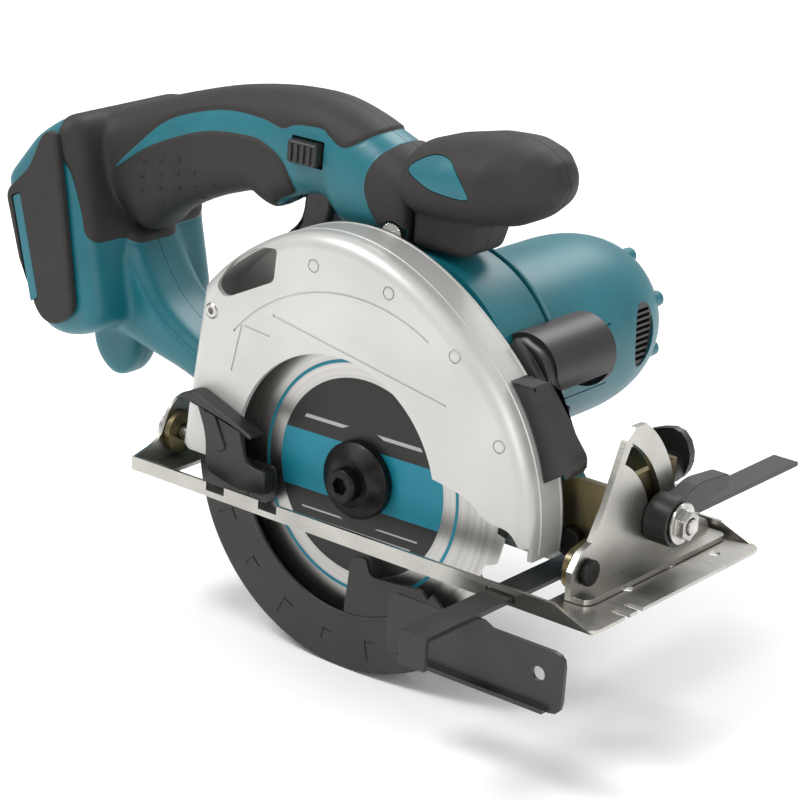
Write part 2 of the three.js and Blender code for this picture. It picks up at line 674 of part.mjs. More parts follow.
function handle() {
  const seam = st(HANDLE_Y);
  const cavity = handleSolid(SHELL_WALL);
  const rearOpening = alongX(
    outline([[seam - 30, 50, 3], [seam + 30, 50, 3], [seam + 30, 100, 3], [seam - 30, 100, 3]]), -200, -160,
  );
  const openings = [
    box([-61, seam - 7, 95], [-36, seam + 7, 116]), // trigger mouth
    box([-52.6, seam - 20, 126.4], [-37.4, seam - 12, 136.6]), // lock-off button
    box([-46, st(20), 5], [-30, st(HANDLE_Y + 25), 40]), // arm into the gear housing
  ];
  const clear = union(
    rod("y", motor, GEARBOX_R + GAP, st(-20), st(80), 40),
    box([-48.5, st(-10), -10], [60, st(70), 60]),
    rod("y", CASE_SCREW, 5.6, st(10), st(16.8), ROUND),
  );
  const shellBody = cut(handleSolid(0), cavity, rearOpening, ...openings, clear);
  const rightHalf = box([-220, st(-40), -20], [40, seam - SEAM / 2, 180]);
  const leftHalf = box([-220, seam + SEAM / 2, -20], [40, st(100), 180]);
  add("handle_shell_right", shellBody.intersect(rightHalf), TEAL);
  add("handle_shell_left", shellBody.intersect(leftHalf), TEAL);
}

function frontGrip() {
  const seam = st(HANDLE_Y);
  const bulb = ball([17, seam, 134.5], [39, 24, 17.5], 24);
  const neck = alongY(
    outline([[2.6, 140, 6], [40, 135, 6], [32, 112, 4], [30, 105.5, 4], [3, 105.5, 2]]),
    seam - 15, seam + 15, { chamfer: 3 },
  );
  const clear = box([-30, st(-20), 90], [2.5, st(80), 170]);
  const whole = cut(union(bulb, neck), clear, ball([19, seam - 24, 137], [14, 6, 8.6], 16),
    rod("y", motor, GEARBOX_R + GAP, st(-20), st(80), 40));
  add("front_grip_right", whole.intersect(box([-40, st(-20), 90], [80, seam - SEAM / 2, 170])), RUBBER);
  add("front_grip_left", whole.intersect(box([-40, seam + SEAM / 2, 90], [80, st(90), 170])), RUBBER);
  const lens = ball([19, seam - 24, 137], [13.5, 5.6, 8.2], 16);
  add("grip_insert", lens.intersect(ball([17, seam, 134.5], [39.4, 24.4, 17.9], 24)), TEAL);
}

function batteryMount() {
  const seam = st(HANDLE_Y);
  const block = alongX(
    outline([[seam - 26, 54, 3], [seam + 26, 54, 3], [seam + 26, 96, 3], [seam - 26, 96, 3]]), -170, -160.5,
  );
  add("terminal_block", block, BLACK);
  for (let i = 0; i < 2; i++) {
    const y = seam - 10 + i * 20;
    add("terminal_blade_" + (i + 1), box([-177, y - 0.5, 66], [-170 - GAP, y + 0.5, 84]), COPPER);
  }
  const bumper = outline([
    [-181, 92, 4], [-168, 103, 4], [-160, 121, 6], [-152, 122, 6], [-148, 100, 12], [-140, 50, 5],
    [-150, 41, 5], [-162, 42, 8], [-173, 66],
  ]);
  [["right", -1], ["left", 1]].forEach(([name, side]) => {
    const inner = seam + side * (FOOT_HALF + GAP);
    const outer = seam + side * (FOOT_HALF + 3.5);
    const pad = alongY(bumper, Math.min(inner, outer), Math.max(inner, outer));
    add("foot_bumper_" + name, pad, RUBBER);
  });
}

function switchSet() {
  const seam = st(HANDLE_Y);
  add("switch_body", box([-58, seam - 8, 119.2], [-32, seam + 8, 137]), BLACK);
  const finger = outline([
    [-53.5, 117.5, 2], [-39, 117.5, 2], [-41, 101, 4], [-49, 92, 4], [-66, 86, 3], [-64, 93, 6],
    [-55, 101, 4],
  ]);
  add("trigger", alongY(finger, seam - 6, seam + 6, { chamfer: 1.5 }), BLACK);
  const button = union(
    box([-52, seam - GRIP_HALF - 3.4, 127], [-38, seam - 14, 136]),
    rod("y", [-45, 131.5], 2.8, seam - 14.1, seam - 11.5),
  );
  add("lock_off_button", button, BLACK);
}

// ---------------------------------------------------------------- base
function solePlate() {
  const near = -SOLE_WIDTH / 2;
  const far = SOLE_WIDTH / 2;
  const t = SOLE_PLATE;
  const plan = outline([
    [SOLE_REAR, near, 4], [SOLE_FRONT, near, 4], [SOLE_FRONT, far, 6], [SOLE_REAR, far, 6],
  ]);
  const flange = (y0, y1) =>
    alongY(outline([[SOLE_REAR, 0], [SOLE_FRONT - 1, 0], [SOLE_FRONT - 18, 6.6], [SOLE_REAR, 5.4]]), y0, y1);
  const ear = alongX(
    outline([[near + 1, 0], [near + 1, 5.4], [st(-6), 9, 6], [st(-2), 22, 8], [st(8), 26, 8],
      [st(18), 22, 8], [st(22), 8, 6], [far - 1, 5.4], [far - 1, 0]]),
    SOLE_REAR, SOLE_REAR + t,
  );
  const sheet = union(alongZ(plan, 0, t), flange(near, near + t), flange(far - t, far), ear);
  const slot = box([SLOT_REAR, st(-SLOT_NEAR), -2], [SLOT_FRONT, st(SLOT_FAR), 6]);
  const tiltRoom = box([SLOT_REAR, st(SLOT_FAR) - 1, -2], [TILT_ROOM.front, st(TILT_ROOM.far), 6]);
  const notches = [-53, -27].map((x) => box([x - 4.5, near - 1, 2.4], [x + 4.5, near + t + 1, 8]));
  const fenceSlot = (y) =>
    box([FENCE_X - FENCE_BAR / 2 - 0.6, y - 2, t], [FENCE_X + FENCE_BAR / 2 + 0.6, y + 2, t + 3]);
  const sights = [8, 0].map((d) => box([SOLE_FRONT - 6, st(d) - 1.6, -1], [SOLE_FRONT + 1, st(d) + 1.6, 3]));
  const rearPin = rod("x", [st(BEVEL.y), BEVEL.z], 3.3, SOLE_REAR - 2, SOLE_REAR + 4);
  const strap = cut(
    box([FENCE_X - 11, FENCE_CLAMP_Y - 6, t - 0.1], [FENCE_X + 11, FENCE_CLAMP_Y + 6, 8.5]),
    box([FENCE_X - FENCE_BAR / 2 - 0.6, 0, t], [FENCE_X + FENCE_BAR / 2 + 0.6, 80, t + FENCE_THICK + 0.9]),
    rod("z", [FENCE_X, FENCE_CLAMP_Y], 3 + GAP, t, 12),
  );
  const holes = [[108, st(20)], [112, st(72)], [106, st(50)]].map(([x, y]) => rod("z", [x, y], 2.4, -1, 3));
  add(
    "sole_plate",
    cut(union(sheet, strap), slot, tiltRoom, ...notches, fenceSlot(near), fenceSlot(far), ...sights, ...holes, rearPin),
    STEEL,
  );
}

function quadrant() {
  const [y, z] = [st(BEVEL.y), BEVEL.z];
  const t = SOLE_PLATE + GAP;
  const arc = polar(() => QUADRANT_R, 57, 12, 16, [y, z]);
  const plate = asShape([
    [y - 9, t], [y - 9.5, z + 2], [y - 5, z + 8], [y + 2, z + 10.5], [y + 9, z + 22],
    [y + 15, z + 36], [y + 18.5, z + 44], [y + 24, z + 48.5], ...arc, [y + 66, z + 4], [y + 80, z - 2], [y + 84, t],
  ].reverse());
  const inner = BEVEL.slotR - 4;
  const outer = BEVEL.slotR + 4;
  const slot = asShape([
    ...polar(() => outer, BEVEL.boltAngle - 7, BEVEL.boltAngle + BEVEL.travel + 4.6, 14, [y, z]),
    ...polar(() => inner, BEVEL.boltAngle + BEVEL.travel + 4.6, BEVEL.boltAngle - 7, 14, [y, z]),
  ]);
  const x0 = QUADRANT_X - PLATE;
  const foot = alongZ(
    outline([[x0, y - 9, 0], [x0, y + 84, 0], [x0 + 10, y + 84, 4], [x0 + 10, y - 9, 6]]), t, t + 2,
  );
  add(
    "bevel_quadrant",
    cut(
      union(alongX(plate, x0, QUADRANT_X), foot),
      alongX(slot, x0 - 1, QUADRANT_X + 1),
      rod("x", [y, z], 3.3, x0 - 1, QUADRANT_X + 1),
    ),
    CAST,
  );
}

const clampBolt = [
  st(BEVEL.y) + BEVEL.slotR * Math.cos(BEVEL.boltAngle * deg),
  BEVEL.z + BEVEL.slotR * Math.sin(BEVEL.boltAngle * deg),
];

/** Plated bracket that tilts on the base and carries the saw on its cross pivot. */
function frontBracket() {
  const back = QUADRANT_X - PLATE - GAP - PLATE;
  const face = back + PLATE;
  const [y, z] = [st(BEVEL.y), BEVEL.z];
  const p = DEPTH_PIVOT;
  const wall = alongX(
    outline([[y - 8, z - 6, 5], [y - 8, z + 7, 5], [st(17), z + 12, 4], [st(17), 38, 4], [st(62.5), 38, 6],
      [st(62.5), 7, 3], [st(30), 5.5, 3]]),
    back, face,
  );
  const windowCut = box([back - 1, st(24), 22], [face + 1, st(36), 34]);
  const cheek = (x0, top) => outline([[x0, p.z - 7, 7], [face - 0.1, p.z - 8], [face - 0.1, top], [x0, top, 8]]);
  const near = alongY(cheek(p.x - 8, 38), st(17), st(19.5));
  const far = alongY(cheek(p.x - 10, 38), st(60), st(62.5));
  const pin = rod("y", [p.x, p.z], 3 + GAP, st(10), st(70));
  add(
    "front_bracket",
    cut(
      union(cut(wall, windowCut), near, far),
      pin,
      rod("x", [y, z], 3 + GAP, back - 1, face + 1),
      rod("x", clampBolt, 3 + GAP, back - 1, face + 1),
  rod("y", LOCK, 3 + GAP, st(58), st(65)),
    ),
    ZINC,
  );
  add(
    "bevel_front_pin",
    union(rod("x", [y, z], 3, back - 2, QUADRANT_X + 0.5), rod("x", [y, z], 5, QUADRANT_X + GAP, QUADRANT_X + 2.6)),
    IRON,
  );
  add(
    "depth_pivot_screw",
    union(rod("y", [p.x, p.z], 3, st(14), st(64)), rod("y", [p.x, p.z], 5.5, st(12.8), st(16.7))),
    IRON,
  );
}

/** Rear end of the tilting frame: pivot plate on the base's ear and the arc that guides the depth. */
function rearGuide() {
  const [y, z] = [st(BEVEL.y), BEVEL.z];
  const x0 = SOLE_REAR + SOLE_PLATE + GAP;
  add(
    "rear_pivot_pin",
    union(rod("x", [y, z], 3, SOLE_REAR - 1.5, x0 + 8), rod("x", [y, z], 6, SOLE_REAR - 4, SOLE_REAR - GAP)),
    STEEL,
  );
  const disc = ring("x", [y, z], 3 + GAP, 8.5, x0, x0 + 2.5);
  const shelf = box([x0, y + 4, z - 2], [x0 + 2.5, st(GUIDE_Y + 2.5), z + 6]);
  const p = DEPTH_PIVOT;
  const reach = p.x - x0 - 1.6;
  const arc = asShape([
    ...polar(() => reach, 181, 150, 12, [p.x, p.z]),
    ...polar(() => reach - 12, 150, 181, 12, [p.x, p.z]),
  ]);
  const slot = asShape([
    ...polar(() => reach - 3.5, 176, 152, 12, [p.x, p.z]),
    ...polar(() => reach - 8.5, 152, 176, 12, [p.x, p.z]),
  ]);
  const guide = cut(alongY(arc, st(GUIDE_Y), st(GUIDE_Y + 2.5)), alongY(slot, st(GUIDE_Y - 1), st(GUIDE_Y + 3)));
  add("depth_guide", union(disc, shelf, guide), ZINC);
}

function baseControls() {
  const [y, z] = clampBolt;
  const back = QUADRANT_X - PLATE - GAP - PLATE;
  const q = QUADRANT_X + GAP;
  const bore = rod("x", clampBolt, 3 + GAP, q - 1, q + 30);
  add(
    "bevel_clamp_bolt",
    union(rod("x", clampBolt, 3, back - 1, q + 16), rod("x", clampBolt, 5.5, back - BOLT_HEAD, back - GAP, 6)),
    STEEL,
  );
  const arm = alongX(
    outline([[y - 2, z + 7], [y + 14, z + 12, 4], [y + 35, z + 10, 3], [y + 35, z + 4, 3], [y + 12, z + 1, 4],
      [y + 2, z - 5]]),
    q + 2, q + 9,
  );
  add("bevel_lever", cut(union(rod("x", clampBolt, 9.5, q, q + 10, 24), arm), bore), BLACK);
  const nut = union(rod("x", clampBolt, 8, q + 10 + GAP, q + 11.5, 24), rod("x", clampBolt, 5.8, q + 11.4, q + 15, 6));
  add("bevel_nut", cut(nut, bore), STEEL);
  const lock = LOCK;
  const hub = union(rod("y", lock, 6.5, st(63), st(74), 20), rod("y", lock, 3, st(58), st(63.5)));
  const paddle = alongY(
    outline([[lock[0] - 19, 37, 9], [lock[0] + 3, 46, 9], [lock[0] + 10, 34, 9], [lock[0] + 4, 22, 7],
      [lock[0] - 8, 26, 8]]),
    st(73.9), st(77.5),
  );
  add("depth_lever", union(hub, paddle), BLACK);
}

function ripFence() {
  const z0 = SOLE_PLATE + GAP;
  const x0 = FENCE_X - FENCE_BAR / 2;
  const x1 = FENCE_X + FENCE_BAR / 2;
  const near = st(-71.4);
  const top = z0 + FENCE_THICK;
  const bar = box([x0, near, z0], [x1, st(176), top]);
  const drop = box([x0, near, -9], [x1, near + FENCE_THICK, top]);
  const face = st(-40);
  const plate = alongY(
    outline([[48, 0, 3], [x0 - 2, 0], [x0 - 2, z0 + 0.2], [x1 + 2, z0 + 0.2], [x1 + 6, 0], [124, 0, 5],
      [124, -23, 5], [48, -23, 5]]),
    face - FENCE_THICK, face,
  );
  const lip = box([54, face - 4.5, -23], [118, face - 0.5, -21.4]);
  const hole = rod("y", [113.5, -10], 2.8, face - 3, face + 1);
  add("rip_fence", cut(union(bar, drop, plate, lip), hole), BLACK);
  const screw = rod("z", [FENCE_X, FENCE_CLAMP_Y], 3, z0 + FENCE_THICK + GAP, 16);
  const wings = box([FENCE_X - 8, FENCE_CLAMP_Y - 1.2, 11], [FENCE_X + 8, FENCE_CLAMP_Y + 1.2, 20]);
  add("fence_wing_screw", union(screw, wings), STEEL);
}

function caseScrews() {
  add("case_knurled_screw", rod("y", CASE_SCREW, 5, st(CASE_FAR + GAP), st(16.2), ROUND), STEEL);
}

bladeAndSpindle();
layshaftSet();
armatureSet();
bladeCase();
frontDeflector();
lowerGuard();
bearingBox();
gearHousing();
motorHousing();
lampHousing();
handle();
frontGrip();
batteryMount();
switchSet();
solePlate();
quadrant();
frontBracket();
rearGuide();
baseControls();
ripFence();
caseScrews();

export default root;
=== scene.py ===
"""Cordless trim saw with a 136 mm blade: the visual model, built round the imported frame.

Sizes are in millimetres in this file and become metres when a mesh is made. X is forward, Y runs from
the blade side to the motor side, Z is up from the sole. Stations along Y are given from the blade face.
"""

import json
import math

import bmesh
import bpy
import numpy as np
from mathutils import Matrix, Vector
from mathutils.bvhtree import BVHTree


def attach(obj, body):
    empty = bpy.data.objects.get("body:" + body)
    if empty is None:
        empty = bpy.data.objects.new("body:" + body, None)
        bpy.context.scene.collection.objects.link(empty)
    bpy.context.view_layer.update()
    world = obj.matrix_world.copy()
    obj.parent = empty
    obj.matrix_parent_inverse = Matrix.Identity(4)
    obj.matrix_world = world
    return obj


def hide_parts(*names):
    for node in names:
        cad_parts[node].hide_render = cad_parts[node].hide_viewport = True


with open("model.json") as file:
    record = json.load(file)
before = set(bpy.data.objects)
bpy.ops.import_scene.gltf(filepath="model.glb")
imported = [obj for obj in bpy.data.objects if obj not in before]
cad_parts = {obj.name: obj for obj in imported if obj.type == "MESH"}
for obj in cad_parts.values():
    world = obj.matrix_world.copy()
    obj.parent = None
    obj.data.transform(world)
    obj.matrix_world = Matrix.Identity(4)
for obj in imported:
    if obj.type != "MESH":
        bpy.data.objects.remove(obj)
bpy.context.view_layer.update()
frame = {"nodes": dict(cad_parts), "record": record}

MM = 0.001
BLADE_FACE = -35.0
SEAM = -5.0  # mid plane of the handle
ARBOR = (0.0, 18.0)
MOTOR = (6.0, 55.0)
PIVOT = (85.0, 14.5)
PARTING = 0.12  # half the hairline between two shells
GEAR_ROOM = 49.3  # what fits round the gear housing is cut to this radius
CASE_SCREW = (-68, 69)
KNURLED_SCREW = (-3, 109)
LABEL_LEAN = 1.0  # degrees the blade's print is turned at rest


def st(from_blade):
    """Station along Y, counted from the blade face."""
    return BLADE_FACE + from_blade


# ---------------------------------------------------------------- colour and node helpers
def tone(code):
    """An sRGB hex colour as linear RGBA."""
    channels = [int(code[i : i + 2], 16) / 255 for i in (1, 3, 5)]
    return [c / 12.92 if c <= 0.04045 else ((c + 0.055) / 1.055) ** 2.4 for c in channels] + [1]


def add_node(tree, kind, settings=None, **links):
    """Adds a shader node, sets its properties, and sets or links its inputs (blanks in names are _)."""
    made = tree.nodes.new("ShaderNode" + kind)
    for key, value in (settings or {}).items():
        setattr(made, key, value)
    for key, value in links.items():
        socket = made.inputs[int(key[1:])] if key[0] == "i" and key[1:].isdigit() else made.inputs[key.replace("_", " ")]
        if isinstance(value, bpy.types.NodeSocket):
            tree.links.new(value, socket)
        else:
            socket.default_value = value
    return made


def new_material(name, colour, roughness, metallic=0.0, **sockets):
    """A Principled material, its node tree and its shader."""
    material = bpy.data.materials.new(name)
    material.use_nodes = True
    tree = material.node_tree
    shader = tree.nodes["Principled BSDF"]
    shader.inputs["Base Color"].default_value = tone(colour)
    shader.inputs["Roughness"].default_value = roughness
    shader.inputs["Metallic"].default_value = metallic
    for key, value in sockets.items():
        shader.inputs[key.replace("_", " ")].default_value = value
    return material, tree, shader


def place(tree):
    """Object coordinates, in metres."""
    return add_node(tree, "TexCoord").outputs["Object"]


def noise(tree, millimetres, detail=2.0, stretch=(1, 1, 1)):
    """Noise with features of about this size in millimetres."""
    turned = add_node(tree, "Mapping", Vector=place(tree), Scale=stretch)
    return add_node(tree, "TexNoise", Vector=turned.outputs[0], Scale=1 / (millimetres * MM), Detail=detail)


def ramp(tree, factor, stops):
    """Colour ramp through (position, hex colour) stops."""
    made = add_node(tree, "ValToRGB", Fac=factor)
    elements = made.color_ramp.elements
    while len(elements) < len(stops):
        elements.new(0.5)
    for element, (position, colour) in zip(elements, stops):
        element.position = position
        element.color = tone(colour)
    return made.outputs[0]


def scaled(tree, factor, low, high):
    """A 0 to 1 value moved to the range low to high."""
    return add_node(tree, "MapRange", Value=factor, To_Min=low, To_Max=high).outputs[0]


def bump(tree, shader, height, depth_mm, strength=1.0):
    """Bump of a given depth on the shader's normal, on top of what is there."""
    made = add_node(tree, "Bump", Height=height, Distance=depth_mm * MM, Strength=strength)
    old = shader.inputs["Normal"].links
    if old:
        tree.links.new(old[0].from_socket, made.inputs["Normal"])
    tree.links.new(made.outputs[0], shader.inputs["Normal"])


def mixed(tree, factor, one, two):
    """Colour mix of two colours or sockets."""
    return add_node(tree, "Mix", {"data_type": "RGBA"}, i0=factor, i6=one, i7=two).outputs[2]


def feed(tree, socket, shader, name):
    tree.links.new(socket, shader.inputs[name])


# ---------------------------------------------------------------- materials
def moulded_nylon():
    """Glass-filled nylon, moulded with a fine spark texture: a satin skin with a soft broken highlight."""
    material, tree, shader = new_material("teal_glass_filled_nylon", "#0A6A76", 0.38, IOR=1.53)
    cloud = noise(tree, 22, 3)
    feed(tree, ramp(tree, cloud.outputs[0], [(0.3, "#075E6A"), (0.7, "#096874")]), shader, "Base Color")
    grain = noise(tree, 0.35, 2)
    feed(tree, scaled(tree, grain.outputs[0], 0.36, 0.5), shader, "Roughness")
    bump(tree, shader, grain.outputs[0], 0.02, 0.6)
    return material


def soft_overmould():
    """Thermoplastic elastomer over nylon: matt, slightly brown black with a stippled skin."""
    material, tree, shader = new_material("black_elastomer", "#201D1C", 0.62, IOR=1.5)
    cloud = noise(tree, 14, 3)
    feed(tree, ramp(tree, cloud.outputs[0], [(0.3, "#1C1A19"), (0.7, "#24211F")]), shader, "Base Color")
    grain = noise(tree, 0.5, 3)
    feed(tree, scaled(tree, grain.outputs[0], 0.58, 0.74), shader, "Roughness")
    bump(tree, shader, grain.outputs[0], 0.05, 0.7)
    return material


def two_shot_moulding():
    """Nylon shell with elastomer moulded into it: the attribute tells the two apart, with a joint between."""
    material, tree, shader = new_material("teal_nylon_with_black_elastomer", "#12808C", 0.45, IOR=1.52)
    edge = add_node(tree, "Attribute", {"attribute_name": "soft_edge"}).outputs["Fac"]
    soft = add_node(tree, "MapRange", Value=edge, From_Min=-0.05, From_Max=0.05).outputs[0]
    cloud = noise(tree, 18, 3)
    nylon = ramp(tree, cloud.outputs[0], [(0.3, "#075E6A"), (0.7, "#096874")])
    rubber = ramp(tree, cloud.outputs[0], [(0.3, "#1C1A19"), (0.7, "#24211F")])
    feed(tree, mixed(tree, soft, nylon, rubber), shader, "Base Color")
    grain = noise(tree, 0.45, 3)
    rough_nylon = scaled(tree, grain.outputs[0], 0.36, 0.5)
    rough_rubber = scaled(tree, grain.outputs[0], 0.56, 0.74)
    both = add_node(tree, "Mix", {"data_type": "FLOAT"}, i0=soft, i2=rough_nylon, i3=rough_rubber)
    feed(tree, both.outputs[0], shader, "Roughness")
    bump(tree, shader, grain.outputs[0], 0.04, 0.6)
    return material


def hard_black_plastic():
    """Moulded ABS, black, with a fine satin skin."""
    material, tree, shader = new_material("black_moulded_abs", "#2C2A29", 0.45, IOR=1.54)
    cloud = noise(tree, 9, 3)
    feed(tree, ramp(tree, cloud.outputs[0], [(0.3, "#181716"), (0.7, "#201E1D")]), shader, "Base Color")
    grain = noise(tree, 0.4, 2)
    feed(tree, scaled(tree, grain.outputs[0], 0.38, 0.52), shader, "Roughness")
    bump(tree, shader, grain.outputs[0], 0.03, 0.5)
    return material


def silver_painted_casting():
    """Silver lacquer on die-cast alloy: fine metallic flake under a satin coat, with soft casting waves."""
    material, tree, shader = new_material("silver_lacquer_on_casting", "#CFCFCC", 0.4, 0.35)
    cloud = noise(tree, 40, 3)
    feed(tree, ramp(tree, cloud.outputs[0], [(0.25, "#B9B9B6"), (0.75, "#C9C9C6")]), shader, "Base Color")
    flake = noise(tree, 0.25, 1)
    feed(tree, scaled(tree, flake.outputs[0], 0.32, 0.46), shader, "Roughness")
    bump(tree, shader, flake.outputs[0], 0.012, 0.5)
    bump(tree, shader, noise(tree, 6, 2).outputs[0], 0.03, 0.4)
    return material


def black_enamel():
    """Black stoving enamel on pressed steel: satin with faint orange peel."""
    material, tree, shader = new_material("black_enamel_on_steel", "#383735", 0.42, IOR=1.5)
    cloud = noise(tree, 16, 4)
    feed(tree, ramp(tree, cloud.outputs[0], [(0.3, "#1E1D1C"), (0.7, "#282725")]), shader, "Base Color")
    peel = noise(tree, 1.1, 2)
    feed(tree, scaled(tree, peel.outputs[0], 0.34, 0.5), shader, "Roughness")
    bump(tree, shader, peel.outputs[0], 0.02, 0.5)
    return material


def rolled_steel():
    """Nickel-plated steel sheet, rolled: bright grey with streaks along the sheet and a slow drift in tone."""
    material, tree, shader = new_material("plated_sheet_steel", "#B4B2AC", 0.3, 1.0)
    streak = noise(tree, 0.6, 3, (0.04, 1, 1))
    cloud = noise(tree, 25, 4)
    colour = ramp(tree, cloud.outputs[0], [(0.25, "#A3A19B"), (0.75, "#C4C2BC")])
    feed(tree, colour, shader, "Base Color")
    feed(tree, scaled(tree, streak.outputs[0], 0.2, 0.42), shader, "Roughness")
    bump(tree, shader, streak.outputs[0], 0.01, 0.5)
    return material


def yellow_zinc():
    """Steel with yellow passivated zinc: a dull gold film that drifts to grey and pink."""
    material, tree, shader = new_material("yellow_passivated_zinc", "#8C8262", 0.36, 1.0)
    film = noise(tree, 9, 3)
    stops = [(0.25, "#6F6B5F"), (0.45, "#7A6F4C"), (0.6, "#6E6552"), (0.8, "#65675E")]
    feed(tree, ramp(tree, film.outputs[0], stops), shader, "Base Color")
    feed(tree, scaled(tree, noise(tree, 0.8, 3).outputs[0], 0.26, 0.44), shader, "Roughness")
    return material


def turned_steel():
    """Bright machined steel, zinc plated clear: fine tool marks that break up the highlight."""
    material, tree, shader = new_material("bright_turned_steel", "#B9B7B3", 0.25, 1.0)
    marks = noise(tree, 0.3, 2)
    cloud = noise(tree, 5, 3)
    feed(tree, ramp(tree, cloud.outputs[0], [(0.3, "#A9A7A3"), (0.7, "#C8C6C2")]), shader, "Base Color")
    feed(tree, scaled(tree, marks.outputs[0], 0.18, 0.36), shader, "Roughness")
    return material


def black_oxide():
    """Steel with black oxide: nearly black metal with a dry sheen."""
    material, tree, shader = new_material("black_oxide_steel", "#4A4846", 0.4, 0.9)
    cloud = noise(tree, 4, 3)
    feed(tree, ramp(tree, cloud.outputs[0], [(0.3, "#222120"), (0.7, "#343231")]), shader, "Base Color")
    feed(tree, scaled(tree, noise(tree, 0.5, 2).outputs[0], 0.3, 0.5), shader, "Roughness")
    return material


def copper_alloy():
    """Drawn copper alloy, slightly tarnished."""
    material, tree, shader = new_material("copper_alloy", "#B87A4B", 0.3, 1.0)
    cloud = noise(tree, 3, 3)
    feed(tree, ramp(tree, cloud.outputs[0], [(0.3, "#A0623A"), (0.7, "#C78A58")]), shader, "Base Color")
    feed(tree, scaled(tree, noise(tree, 0.5, 2).outputs[0], 0.22, 0.42), shader, "Roughness")
    return material


def clear_lens():
    """Clear polycarbonate with a faint moulding haze."""
    material, tree, shader = new_material("clear_polycarbonate", "#E8EEF2", 0.08, IOR=1.58)
    shader.inputs["Transmission Weight"].default_value = 0.85
    feed(tree, scaled(tree, noise(tree, 1.5, 2).outputs[0], 0.05, 0.14), shader, "Roughness")
    return material


def band(tree, value, low, high, blur=0.12):
    """1 between two values in millimetres, 0 outside, with edges as soft as printing ink."""
    rise = add_node(tree, "MapRange", Value=value, From_Min=low - blur, From_Max=low + blur)
    fall = add_node(tree, "MapRange", Value=value, From_Min=high - blur, From_Max=high + blur, To_Min=1, To_Max=0)
    return add_node(tree, "Math", {"operation": "MULTIPLY"}, i0=rise.outputs[0], i1=fall.outputs[0]).outputs[0]


def maths(tree, operation, one, two=0.0):
    return add_node(tree, "Math", {"operation": operation}, i0=one, i1=two).outputs[0]


def printed_blade_steel():
    """Ground tool steel with a screen-printed label: rings of grinding marks, a dark disc with a blue band
    across it and a thin blue ring round it, all turned by LABEL_LEAN."""
    material, tree, shader = new_material("ground_blade_steel_with_print", "#BDBBB7", 0.28, 1.0)
    centred = add_node(tree, "Mapping", Vector=place(tree), Location=(0, 0, -ARBOR[1] * MM))
    turned = add_node(tree, "Mapping", Vector=centred.outputs[0], Rotation=(0, math.radians(LABEL_LEAN), 0))
    split = add_node(tree, "SeparateXYZ", Vector=turned.outputs[0])
    across = maths(tree, "MULTIPLY", split.outputs[0], 1000.0)
    up = maths(tree, "MULTIPLY", split.outputs[2], 1000.0)
    squares = maths(tree, "ADD", maths(tree, "MULTIPLY", across, across), maths(tree, "MULTIPLY", up, up))
    radius = maths(tree, "SQRT", squares)
    near_side = add_node(tree, "MapRange", Value=split.outputs[1], From_Min=(st(0.5)) * MM, From_Max=(st(0.6)) * MM,
                         To_Min=1, To_Max=0).outputs[0]
    disc = band(tree, radius, -1, 38.5)
    stripe = maths(tree, "MULTIPLY", disc, band(tree, up, -11, 12))
    ring = band(tree, radius, 44.2, 45.6)
    rules = maths(tree, "MULTIPLY", band(tree, radius, 20, 33), maths(tree, "MAXIMUM", band(tree, up, -18.4, -17.8),
                  maths(tree, "MAXIMUM", band(tree, up, -22.4, -21.8), band(tree, up, 17.5, 18.9))))
    grind = add_node(tree, "TexNoise", {"noise_dimensions": "1D"}, W=radius, Scale=0.45, Detail=1.0)
    steel = ramp(tree, grind.outputs[0], [(0.3, "#B2B0AC"), (0.7, "#C4C2BE")])
    inked = mixed(tree, maths(tree, "MULTIPLY", disc, near_side), steel, tone("#232221"))
    inked = mixed(tree, maths(tree, "MULTIPLY", rules, near_side), inked, tone("#A9A8A6"))
    inked = mixed(tree, maths(tree, "MULTIPLY", stripe, near_side), inked, tone("#127C90"))
    inked = mixed(tree, maths(tree, "MULTIPLY", ring, near_side), inked, tone("#127C90"))
    feed(tree, inked, shader, "Base Color")
    ink = maths(tree, "MULTIPLY", maths(tree, "MAXIMUM", disc, ring), near_side)
    bare = maths(tree, "SUBTRACT", 1.0, maths(tree, "MULTIPLY", ink, 0.75))
    feed(tree, bare, shader, "Metallic")
    rough = add_node(tree, "Mix", {"data_type": "FLOAT"}, i0=ink, i2=scaled(tree, grind.outputs[0], 0.31, 0.35),
                     i3=0.42)
    feed(tree, rough.outputs[0], shader, "Roughness")
    return material


TEAL = moulded_nylon()
RUBBER = soft_overmould()
TWO_SHOT = two_shot_moulding()
BLACK = hard_black_plastic()
SILVER = silver_painted_casting()
ENAMEL = black_enamel()
SHEET = rolled_steel()
ZINC = yellow_zinc()
BRIGHT = turned_steel()
OXIDE = black_oxide()
COPPER = copper_alloy()
LENS = clear_lens()
LABELLED = printed_blade_steel()
FINISH = {
    "teal_plastic": TEAL,
    "black_plastic": BLACK,
    "black_elastomer": RUBBER,
    "painted_cast_alloy": SILVER,
    "clear_lens": LENS,
    "copper_alloy": COPPER,
    "blackened_steel": OXIDE,
    "bright_steel": BRIGHT,
    "zinc_plated_steel": ZINC,
    "sheet_steel": SHEET,
    "blade_steel": LABELLED,
    "black_painted_steel": ENAMEL,
}
SLOT_OF = {s["node"]: s["material_slot"] for s in frame["record"]["subparts"]}
BODY_OF = {n: b for b, nodes in frame["record"]["behaviour"]["bodies"].items() for n in nodes}


